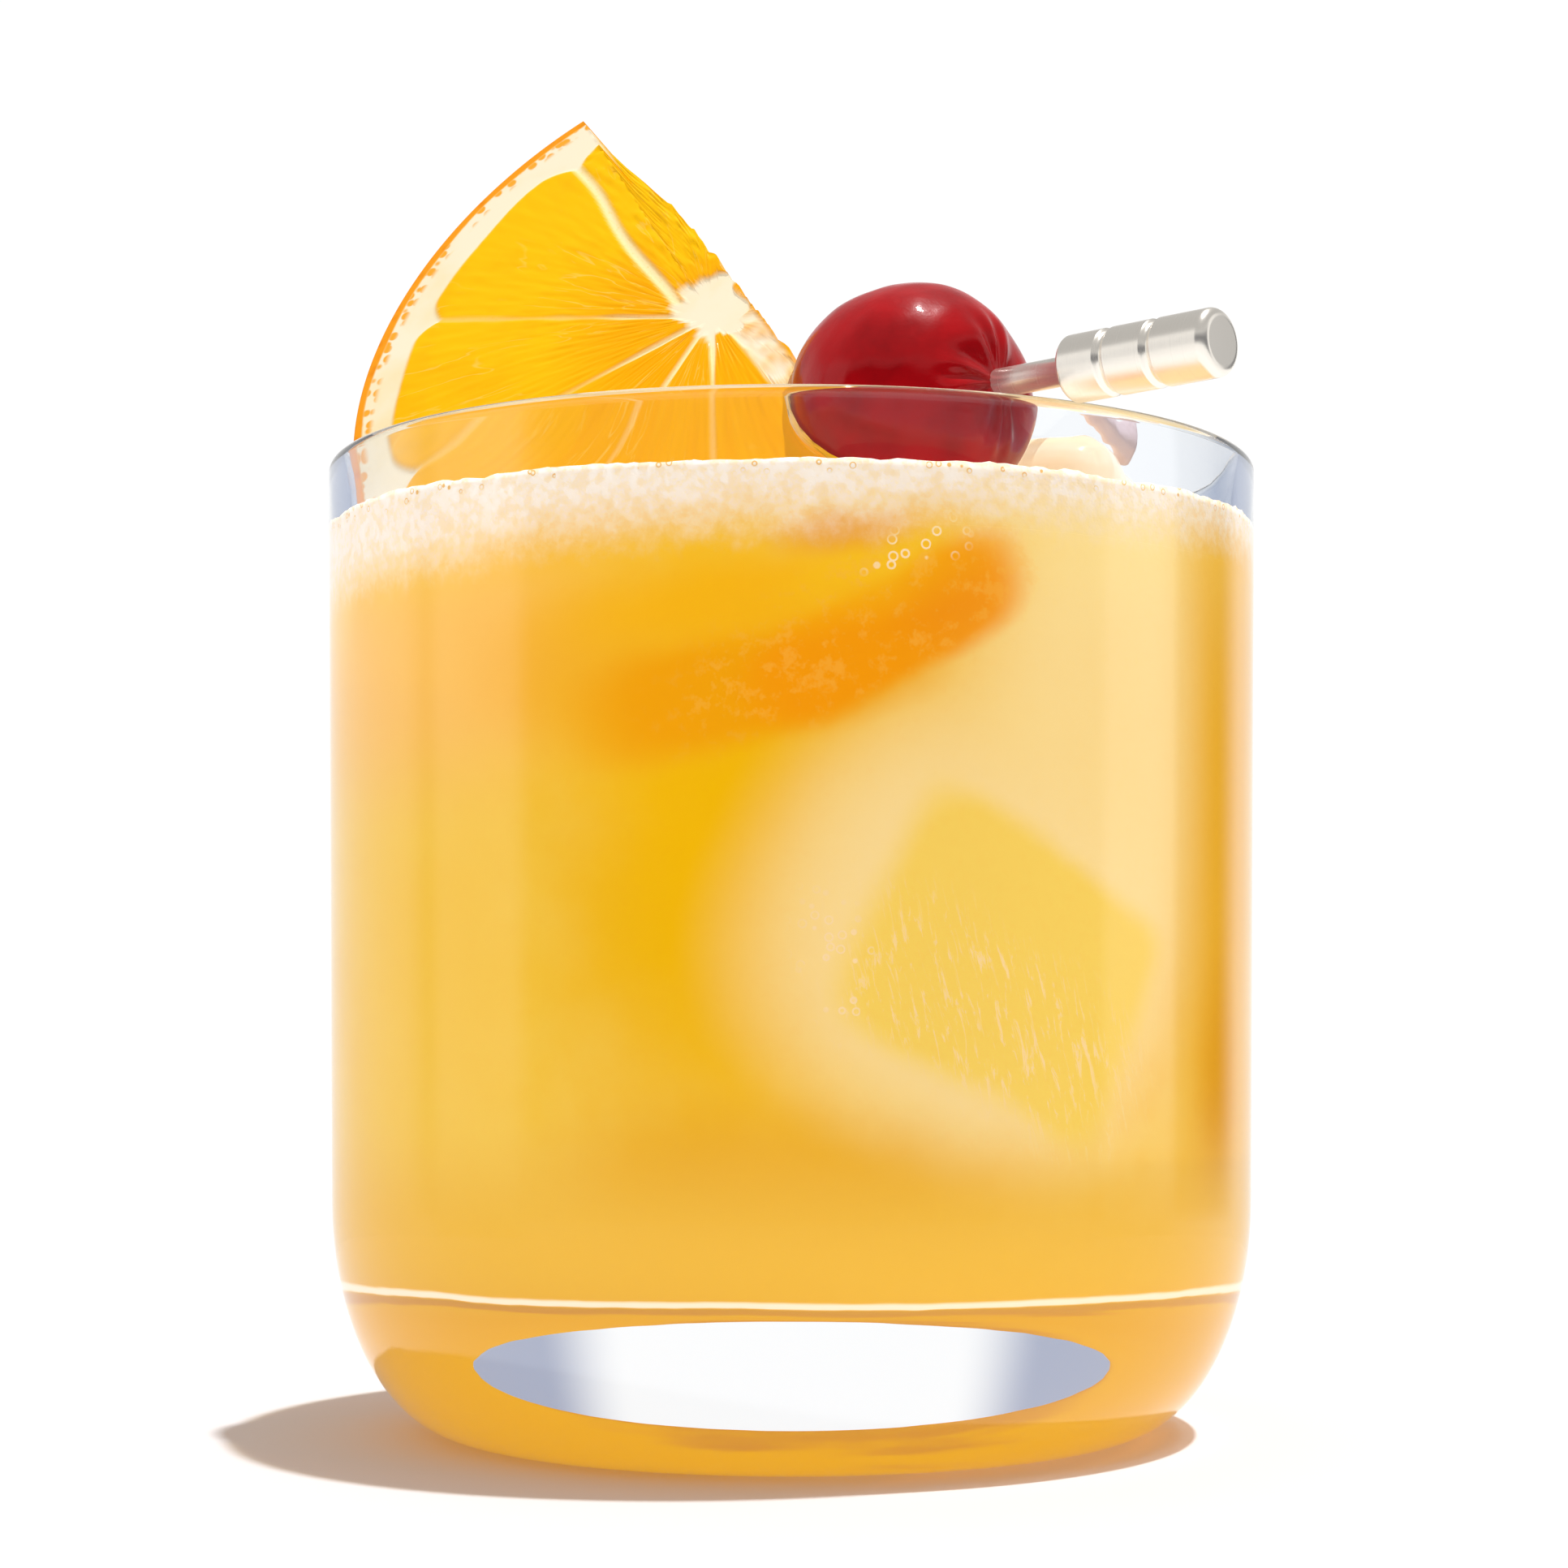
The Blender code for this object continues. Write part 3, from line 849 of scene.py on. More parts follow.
@dataclass(frozen=True)
class CherryFinish:
    """Glossy dyed cherry: deep red skin, faintly mottled, under clear syrup."""

    skin: str = "CC000E"
    deep: str = "A4000A"
    dimple_shade: str = "5A020A"

    def build(self, effects: SharedEffects) -> bpy.types.Material:
        """The cherry's material.

        Args:
            effects: The shared node groups.

        Returns:
            The material.
        """
        made, graph, shader, _ = new_material("cherry skin")
        place = graph.place()
        mottled = graph.group(effects.mottling, Place=place, Broad_Scale=130.0, Fine_Scale=1400.0)
        tone = graph.mix(graph.step(mottled.outputs["Broad"], 0.35, 0.7), paint(self.skin), paint(self.deep))
        # Painted shade: the skin is painted darker in the middle of each dimple where the pick and the stem enter.
        graph.feed(shader.inputs["Base Color"], graph.mix(graph.mask("dimple_shade"), tone, paint(self.dimple_shade)))
        shader.inputs["Roughness"].default_value = 0.35
        shader.inputs["Specular IOR Level"].default_value = 0.05
        shader.inputs["Coat Weight"].default_value = 0.45
        shader.inputs["Coat Roughness"].default_value = 0.07
        height = graph.math("MULTIPLY_ADD", mottled.outputs["Fine"], 0.3, mottled.outputs["Broad"])
        graph.feed(shader.inputs["Normal"], graph.relief(height, 0.25, 0.35))
        graph.feed(shader.inputs["Coat Normal"], graph.relief(mottled.outputs["Fine"], 0.12, 0.12))
        return made


@dataclass(frozen=True)
class StemFinish:
    """The dyed stem: pale red, ribbed along its length."""

    tint: str = "EED2D8"
    pale: str = "F4E0E4"

    def build(self, effects: SharedEffects) -> bpy.types.Material:
        """The stem's material.

        Args:
            effects: The shared node groups.

        Returns:
            The material.
        """
        made, graph, shader, _ = new_material("dyed stem")
        mottled = graph.group(effects.mottling, Place=graph.place(), Broad_Scale=240.0, Fine_Scale=1600.0)
        tone = graph.mix(mottled.outputs["Broad"], paint(self.tint), paint(self.pale))
        graph.feed(shader.inputs["Base Color"], tone)
        graph.feed(shader.inputs["Roughness"], graph.math("MULTIPLY_ADD", mottled.outputs["Fine"], 0.3, 0.3))
        graph.feed(shader.inputs["Normal"], graph.relief(mottled.outputs["Fine"], 0.5, 0.15))
        return made


@dataclass(frozen=True)
class SteelFinish:
    """Turned steel, brushed round its length."""

    glow: float = 0.11
    tint: str = "FBF6EE"
    line: str = "F2EBE0"
    spot: str = "E6DCCC"

    def build(self, effects: SharedEffects) -> bpy.types.Material:
        """The pick's material.

        Args:
            effects: The shared node groups.

        Returns:
            The material.
        """
        made, graph, shader, _ = new_material("turned steel")
        place = graph.place()
        lines = graph.noise(graph.joined(graph.math("MULTIPLY", graph.mask("along"), 240.0), 0.0), 4.0, 4.0, 0.7)
        mottled = graph.group(effects.mottling, Place=place, Broad_Scale=200.0, Fine_Scale=1500.0)
        tone = graph.mix(lines, paint(self.tint), paint(self.line))
        spots = graph.math("MULTIPLY", mottled.outputs["Broad"], 0.3)
        graph.feed(shader.inputs["Base Color"], graph.mix(spots, tone, paint(self.spot)))
        # Painted glow: the steel's own tone shines as emission, brighter than its reflections alone make it.
        graph.feed(shader.inputs["Emission Color"], tone)
        shader.inputs["Emission Strength"].default_value = self.glow
        made.cycles.emission_sampling = "NONE"
        shader.inputs["Metallic"].default_value = 1.0
        graph.feed(shader.inputs["Roughness"], graph.math("MULTIPLY_ADD", lines, 0.12, 0.2))
        graph.feed(shader.inputs["Normal"], graph.relief(lines, 0.25, 0.03))
        return made


def make_mesh(
    name: str, points: np.ndarray, faces: list[tuple[int, ...]], masks: dict[str, np.ndarray] | None = None
) -> bpy.types.Mesh:
    """A smooth mesh with its masks.

    Args:
        name: The mesh's name.
        points: Its points, one row each.
        faces: Its faces.
        masks: Values for each point, by name.

    Returns:
        The mesh.
    """
    mesh = bpy.data.meshes.new(name)
    mesh.from_pydata(points.tolist(), [], faces)
    for label, values in (masks or {}).items():
        attribute = mesh.attributes.new(label, "FLOAT", "POINT")
        attribute.data.foreach_set("value", np.asarray(values, dtype=np.float32).ravel())
    mesh.shade_smooth()
    mesh.validate()
    return mesh


def ring_faces(rows: int, turns: int, first: int = 0) -> list[tuple[int, ...]]:
    """The faces between closed rings of points that follow each other.

    Args:
        rows: How many rings there are.
        turns: How many points each has.
        first: The first ring's first point.

    Returns:
        The faces.
    """
    faces = []
    for row in range(rows - 1):
        start = first + row * turns
        for i in range(turns):
            after = (i + 1) % turns
            faces.append((start + i, start + after, start + turns + after, start + turns + i))
    return faces


def turned(name: str, profile: list[tuple[float, float]], steps: int) -> tuple[np.ndarray, list[tuple[int, ...]]]:
    """A form turned about Z from an outline that starts and ends on the axis, outer side first.

    Args:
        name: What is turned, for the log.
        profile: The outline as (radius, height), from the bottom up the outer side and back to the axis.
        steps: How many steps there are round it.

    Returns:
        The points and the faces.
    """
    angles = np.linspace(0, 2 * math.pi, steps, endpoint=False)
    rings = [(r, z) for r, z in profile[1:-1]]
    points = [np.array([[0.0, 0.0, profile[0][1]]])]
    for radius, height in rings:
        points.append(np.stack([radius * np.cos(angles), radius * np.sin(angles), np.full(steps, height)], axis=1))
    points.append(np.array([[0.0, 0.0, profile[-1][1]]]))
    faces = [(0, 1 + (i + 1) % steps, 1 + i) for i in range(steps)]
    faces += ring_faces(len(rings), steps, 1)
    last = 1 + (len(rings) - 1) * steps
    end = last + steps
    faces += [(last + i, last + (i + 1) % steps, end) for i in range(steps)]
    LOG.debug("%s turned from %d outline points", name, len(profile))
    return np.concatenate(points), faces


def arc(
    centre: tuple[float, float], across: float, up: float, start: float, end: float, count: int
) -> list[tuple[float, float]]:
    """Points of an ellipse.

    Args:
        centre: Its centre.
        across: Its half width.
        up: Its half height.
        start: The first point's angle in degrees.
        end: The last point's angle in degrees.
        count: How many points there are.

    Returns:
        The points.
    """
    angles = np.radians(np.linspace(start, end, count))
    return [(centre[0] + across * math.cos(a), centre[1] + up * math.sin(a)) for a in angles]


def between(low: tuple[float, float], high: tuple[float, float], count: int) -> list[tuple[float, float]]:
    """Evenly spaced points strictly between two ends."""
    shares = np.linspace(0, 1, count + 2)[1:-1]
    return [(low[0] + (high[0] - low[0]) * s, low[1] + (high[1] - low[1]) * s) for s in shares]


def ripple(points: np.ndarray, length: float, seed: int, count: int = 14) -> np.ndarray:
    """Smooth irregular waves over points, the same on each run.

    Args:
        points: The points, one row each.
        length: The waves' usual length.
        seed: Which set of waves it is.
        count: How many waves are summed.

    Returns:
        A value for each point, mostly between -1 and 1.
    """
    source = np.random.default_rng(seed)
    total = np.zeros(len(points))
    for _ in range(count):
        direction = source.normal(size=points.shape[1])
        direction /= np.linalg.norm(direction)
        pace = 2 * math.pi / (length * source.uniform(0.6, 1.7))
        total += np.sin(points @ direction * pace + source.uniform(0, 2 * math.pi))
    return total / math.sqrt(count)


def smoothstep(values: np.ndarray, low: float, high: float) -> np.ndarray:
    """A smooth step that is 0 at low and 1 at high."""
    share = np.clip((values - low) / (high - low), 0, 1)
    return share * share * (3 - 2 * share)


def place_piece(
    name: str, mesh: bpy.types.Mesh, material: bpy.types.Material, finish: Finish, *nodes: str
) -> bpy.types.Object:
    """Adds a piece to the object.

    Args:
        name: The piece's name.
        mesh: Its mesh.
        material: Its material.
        finish: Its slot in the record; not used.
        nodes: The CAD nodes that it stands for.

    Returns:
        The piece.
    """
    piece = bpy.data.objects.new(name, mesh)
    bpy.context.scene.collection.objects.link(piece)
    mesh.materials.append(material)
    if nodes:
        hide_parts(*nodes)
    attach(piece, "root")
    LOG.info("%s: %d faces, stands for %s", name, len(mesh.polygons), ", ".join(nodes) or "nothing")
    return piece


@dataclass
class Tumbler:
    """The rocks glass: a straight wall with a slight flare, a round hip and a thick clear base."""

    rim_radius: float = 43.5 * MM
    height: float = 89.3 * MM
    hip_radius: float = 42.5 * MM
    hip_height: float = 21.75 * MM
    foot_radius: float = 30.4 * MM
    rim_wall: float = 2.0 * MM
    hip_wall: float = 2.4 * MM
    floor_height: float = 14.3 * MM
    floor_dish: float = 0.0
    corner: float = 12.0 * MM
    steps: int = 256

    def outer(self, height: float) -> float:
        """The outer radius on the flared wall."""
        share = (height - self.hip_height) / (self.height - self.hip_height)
        return self.hip_radius + (self.rim_radius - self.hip_radius) * share

    def inner(self, height: float) -> float:
        """The inner radius on the flared wall."""
        share = (height - self.hip_height) / (self.height - self.hip_height)
        return self.outer(height) - self.hip_wall + (self.hip_wall - self.rim_wall) * share

    def cavity(self, gap: float, top: float) -> list[tuple[float, float]]:
        """The cavity's outline.

        Args:
            gap: How far inside the glass it stays, or less than 0 where it reaches into it.
            top: The height that it goes up to.

        Returns:
            The outline from the floor's middle to the top.
        """
        corner_top = self.floor_height + self.corner
        wall = self.inner(corner_top)
        turn = arc((wall - self.corner, corner_top), self.corner - gap, self.corner - gap, -88, 0, 28)
        middle = (0.0, self.floor_height - self.floor_dish + gap)
        shares = (0.15, 0.35, 0.55, 0.75, 0.9)
        floor = [(turn[0][0] * s, self.floor_height - self.floor_dish * (1 - s * s) + gap) for s in shares]
        above = (self.inner(top) - gap, top)
        return [middle, *floor, *turn, *between(turn[-1], above, 20), above]

    def build(self, material: bpy.types.Material) -> bpy.types.Object:
        """The glass.

        Args:
            material: Its finish.

        Returns:
            The piece.
        """
        hip_across = self.hip_radius - self.foot_radius
        hip = arc((self.foot_radius, self.hip_height), hip_across, self.hip_height, -90, 0, 40)
        lip_radius = self.rim_wall / 2
        lip_height = self.height - lip_radius
        lip = arc((self.rim_radius - lip_radius, lip_height), lip_radius, lip_radius, 0, 180, 14)
        inside = self.cavity(0.0, lip_height - 2 * lip_radius)
        foot = [(self.foot_radius * s, 0.0) for s in (0.4, 0.8)]
        profile = [(0.0, 0.0), *foot, *hip, *between(hip[-1], lip[0], 16), *lip, *inside[::-1]]
        points, faces = turned("glass", profile, self.steps)
        return place_piece("tumbler", make_mesh("tumbler", points, faces), material, Finish.GLASS, "glass")


@dataclass
class Pour:
    """The cloudy drink and its head of foam."""

    tumbler: Tumbler
    drink_top: float = 78.2 * MM
    foam_top: float = 83.3 * MM
    into_wall: float = 0.12 * MM
    film: float = 0.25 * MM
    crisp: float = 0.01 * MM
    steps: int = 360

    def build_drink(self, material: bpy.types.Material) -> bpy.types.Object:
        """The drink, which reaches just into the glass so that no air shows between them.

        Args:
            material: Its finish.

        Returns:
            The piece.
        """
        wall = self.tumbler.cavity(-self.into_wall, self.drink_top)
        corner = [(wall[-1][0], self.drink_top - self.crisp), wall[-1], (wall[-1][0] - self.crisp, self.drink_top)]
        profile = [*wall[:-1], *corner, (0.0, self.drink_top)]
        points, faces = turned("drink", profile, self.steps)
        return place_piece("cloudy_drink", make_mesh("cloudy_drink", points, faces), material, Finish.DRINK, "drink")

    def build_foam(self, material: bpy.types.Material) -> bpy.types.Object:
        """The head of foam with its uneven top and the film that clings to the wall.

        Args:
            material: Its finish.

        Returns:
            The piece.
        """
        base = self.drink_top - 0.02 * MM
        heights = [base + (self.foam_top - base) * s for s in np.linspace(0, 1, 12)]
        wall = [(self.tumbler.inner(height) + self.into_wall, height) for height in heights]
        shares = np.linspace(0.992, 0.02, 60)
        reach = self.tumbler.inner(self.foam_top)
        top = [(reach * s, self.foam_top + self.film * math.exp(-(1 - s) * 60)) for s in shares]
        corner = [(wall[0][0] - self.crisp, base), wall[0], (wall[0][0], base + self.crisp)]
        profile = [(0.0, base), *corner, *wall[1:], *top, (0.0, self.foam_top)]
        points, faces = turned("foam", profile, self.steps)
        reach = np.hypot(points[:, 0], points[:, 1])
        upper = smoothstep(points[:, 2], self.foam_top - 0.6 * MM, self.foam_top - 0.1 * MM)
        swell = ripple(points, 9 * MM, 3) * 0.12 * MM + ripple(points, 2.2 * MM, 5) * 0.07 * MM
        edge = smoothstep(reach, self.tumbler.rim_radius * 0.85, self.tumbler.rim_radius * 0.95)
        points[:, 2] += upper * (swell + edge * np.abs(ripple(points, 1.6 * MM, 8)) * 0.12 * MM)
        return place_piece("foam_head", make_mesh("foam_head", points, faces), material, Finish.FOAM, "foam")


@dataclass
class IceCube:
    """The cube that stands out of the foam, its edges melted round."""

    side: float = 28.0 * MM
    centre: Vector = field(default_factory=lambda: Vector((18.7, -2.0, 75.6)) * MM)
    turn: float = math.radians(-17.5)
    lean: float = math.radians(2.2)
    rounding: float = 3.4 * MM
    cuts: int = 56

    def build(self, material: bpy.types.Material) -> bpy.types.Object:
        """The cube.

        Args:
            material: Its finish.

        Returns:
            The piece.
        """
        points, faces = self._cube()
        half = self.side / 2
        core = np.clip(points, -(half - self.rounding), half - self.rounding)
        away = points - core
        length = np.linalg.norm(away, axis=1, keepdims=True)
        rounded = core + away / np.maximum(length, 1e-9) * np.minimum(length, self.rounding)
        normal = away / np.maximum(length, 1e-9)
        melt = ripple(points, 14 * MM, 11) * 0.22 * MM + ripple(points, 4 * MM, 12) * 0.06 * MM - 0.3 * MM
        mesh = make_mesh("standing_ice", rounded + normal * melt[:, None], faces)
        lean = Matrix.Rotation(self.lean / 4, 4, "Y") @ Matrix.Rotation(-self.lean, 4, "X")
        mesh.transform(Matrix.Translation(self.centre) @ Matrix.Rotation(self.turn, 4, "Z") @ lean)
        return place_piece("standing_ice", mesh, material, Finish.ICE, "ice_cube")

    def _cube(self) -> tuple[np.ndarray, list[tuple[int, ...]]]:
        """A cube of evenly divided faces.

        Returns:
            The points and the faces.
        """
        shares = np.linspace(-1, 1, self.cuts + 1)
        index: dict[tuple[int, int, int], int] = {}
        points: list[tuple[float, float, float]] = []
        faces: list[tuple[int, ...]] = []

        def corner(key: tuple[int, int, int]) -> int:
            """The point at a place on the cube's grid, which is added the first time.

            Args:
                key: The place's steps along each axis.

            Returns:
                The point's number.
            """
            if key not in index:
                index[key] = len(points)
                points.append(tuple(shares[k] * self.side / 2 for k in key))
            return index[key]

        for axis in range(3):
            for end in (0, self.cuts):
                for i in range(self.cuts):
                    for j in range(self.cuts):
                        loop = []
                        for a, b in ((i, j), (i + 1, j), (i + 1, j + 1), (i, j + 1)):
                            key = [a, b]
                            key.insert(axis, end)
                            loop.append(corner(tuple(key)))
                        outward = (end > 0) == (axis != 1)
                        faces.append(tuple(loop if outward else loop[::-1]))
        return np.array(points), faces


@dataclass
class CherryOnPick:
    """The cherry with its stem, and the steel pick that runs through it."""

    centre: Vector = field(default_factory=lambda: Vector((10.4, -26.1, 91.0)) * MM)
    radius: float = 10.7 * MM
    squash: float = 0.975
    stem_toward: Vector = field(default_factory=lambda: Vector((0.80, 0.56, 0.20)).normalized())
    pick_toward: Vector = field(default_factory=lambda: Vector((0.758, -0.651, 0.02)).normalized())
    pick_height: float = 91.25 * MM
    pick_length: float = 80.0 * MM
    shaft_radius: float = 1.25 * MM
    tip_length: float = 9.0 * MM
    handle_radius: float = 2.85 * MM
    handle_length: float = 14.6 * MM
    handle_end: float = 31.7 * MM
    grooves: tuple[float, ...] = (4.3 * MM, 8.9 * MM)
    stem_end: Vector = field(default_factory=lambda: Vector((31.4, -3.6, 90.3)) * MM)

    def build_cherry(self, material: bpy.types.Material) -> bpy.types.Object:
        """The cherry, drawn in and wrinkled where the pick and the stem enter it.

        Args:
            material: Its finish.

        Returns:
            The piece.
        """
        turns, rows = 220, 130
        angles = np.linspace(0, 2 * math.pi, turns, endpoint=False)
        tilt = np.linspace(0, math.pi, rows + 2)[1:-1]
        circle = np.stack([np.cos(angles), np.sin(angles), np.zeros(turns)], axis=1)
        rings = [circle * math.sin(t) + np.array([0, 0, math.cos(t)]) for t in tilt]
        ways = np.concatenate([[[0, 0, 1.0]], *rings, [[0, 0, -1.0]]])
        faces = [(0, 1 + i, 1 + (i + 1) % turns) for i in range(turns)]
        faces += [face[::-1] for face in ring_faces(rows, turns, 1)]
        last = 1 + (rows - 1) * turns
        faces += [(last + (i + 1) % turns, last + i, len(ways) - 1) for i in range(turns)]
        drawn, dimple_shade = self._dimples(ways)
        waves = ripple(ways, 0.9, 41) * 0.10 * MM + ripple(ways, 0.3, 42) * 0.025 * MM - 0.12 * MM
        points = ways * (self.radius - drawn + waves)[:, None]
        points[:, 2] *= self.squash
        mesh = make_mesh("cherry_fruit", points + np.array(self.centre), faces, {"dimple_shade": dimple_shade})
        return place_piece("cherry_fruit", mesh, material, Finish.CHERRY, "cherry")

    def _dimples(self, ways: np.ndarray) -> tuple[np.ndarray, np.ndarray]:
        """How far the skin is drawn in, and where shade is painted in its dimples.

        Args:
            ways: The directions from the cherry's centre.

        Returns:
            The draw in metres and the mask of the painted shade in the dimples.
        """
        rise = Vector((0, 0, self.pick_height - self.centre.z))
        pick = (self.pick_toward * self.radius + rise).normalized()
        drawn = np.zeros(len(ways))
        dimple_shade = np.zeros(len(ways))
        for toward, depth, width, folds in ((pick, 1.1, 46, 0.3), (self.stem_toward, 1.5, 32, 0.06)):
            angle = np.degrees(np.arccos(np.clip(ways @ np.array(toward), -1, 1)))
            near = smoothstep(width - angle, 0, width)
            side = np.cross(np.array(toward), [0, 0, 1.0])
            up = np.cross(side, np.array(toward))
            round_it = np.arctan2(ways @ up, ways @ side)
            ribs = np.sin(round_it * 11 + np.sin(round_it * 4) * 1.5 + angle * 0.04) * near * (1 - near) * 2.2
            drawn += (depth * near + folds * ribs) * MM
            # Painted shade: the mask is strongest in the middle of the dimple.
            dimple_shade = np.maximum(dimple_shade, smoothstep(9 - angle, 0, 6) * 0.8)
        return drawn, dimple_shade

    def build_stem(self, material: bpy.types.Material) -> bpy.types.Object:
        """The stem, from its dimple to its round knob.

        Args:
            material: Its finish.

        Returns:
            The piece.
        """
        start = self.centre + self.stem_toward * (self.radius - 0.9 * MM)
        middle = (start + self.stem_end) / 2 + Vector((0, 0, 0.5 * MM))
        run = (self.stem_end - start).normalized()
        side = run.cross(Vector((0, 0, 1))).normalized()
        up = side.cross(run)
        rings, sides = 90, 28
        points = []
        for ring in range(rings):
            share = ring / (rings - 1)
            share += 0.06 * math.sin(2 * math.pi * share)
            centre = (1 - share) ** 2 * start + 2 * share * (1 - share) * middle + share**2 * self.stem_end
            radius = 0.5 + 0.3 * max(0.0, 1 - share / 0.12) + 0.68 * math.exp(-(((1 - share) / 0.055) ** 2))
            radius += 0.04 * math.sin(share * 47) + 0.03 * math.sin(share * 83 + 1)
            if ring in (0, rings - 1):
                radius *= 0.55
            for k in range(sides):
                angle = 2 * math.pi * k / sides
                ribbed = radius * (1 + 0.05 * math.cos(5 * angle)) * MM
                points.append(centre + ribbed * (math.cos(angle) * side + math.sin(angle) * up))
        faces = [face[::-1] for face in ring_faces(rings, sides)]
        faces += [tuple(range(sides)), tuple(range((rings - 1) * sides, rings * sides))[::-1]]
        mesh = make_mesh("stem", np.array([list(p) for p in points]), faces)
        return place_piece("stem", mesh, material, Finish.STEM, "cherry_stem")

    def build_pick(self, material: bpy.types.Material) -> bpy.types.Object:
        """The pick: a pointed shaft with a ringed handle.

        Args:
            material: Its finish.

        Returns:
            The piece.
        """
        handle = self.pick_length - self.handle_length
        profile = [(0.0, 0.0), (0.2 * MM, 0.1 * MM), (0.4 * MM, 0.5 * MM)]
        profile += between((0.4 * MM, 0.5 * MM), (self.shaft_radius, self.tip_length), 6)
        tip = (self.shaft_radius, self.tip_length)
        profile += [tip, *between(tip, (self.shaft_radius, handle), 10)]
        profile += [(self.shaft_radius, handle - 0.05 * MM), (self.shaft_radius + 0.05 * MM, handle)]
        profile += arc((self.handle_radius - 0.45 * MM, handle + 0.45 * MM), 0.45 * MM, 0.45 * MM, -90, 0, 7)
        profile.append((self.handle_radius, handle + 0.5 * MM))
        for place in self.grooves:
            for across in (-1.1, *np.linspace(-1, 1, 13), 1.1):
                depth = 0.34 * MM * max(0.0, 1 - across**2) ** 1.5
                profile.append((self.handle_radius - depth, handle + place + across * 0.5 * MM))
        bevel = 0.85 * MM
        profile.append((self.handle_radius, self.pick_length - bevel - 0.05 * MM))
        profile += arc((self.handle_radius - bevel, self.pick_length - bevel), bevel, bevel, 0, 90, 10)
        cap = self.handle_radius - bevel
        profile += [(cap - 0.05 * MM, self.pick_length), (cap * 0.5, self.pick_length), (0.0, self.pick_length)]
        points, faces = turned("pick", profile, 96)
        mesh = make_mesh("steel_pick", points, faces, {"along": points[:, 2] / self.pick_length})
        start = Vector((self.centre.x, self.centre.y, self.pick_height))
        start += self.pick_toward * (self.handle_end - self.pick_length)
        turn = self.pick_toward.to_track_quat("Z", "X").to_matrix().to_4x4()
        mesh.transform(Matrix.Translation(start) @ turn)
        pick = place_piece("steel_pick", mesh, material, Finish.STEEL, "pick")
        pick.visible_shadow = False
        return pick


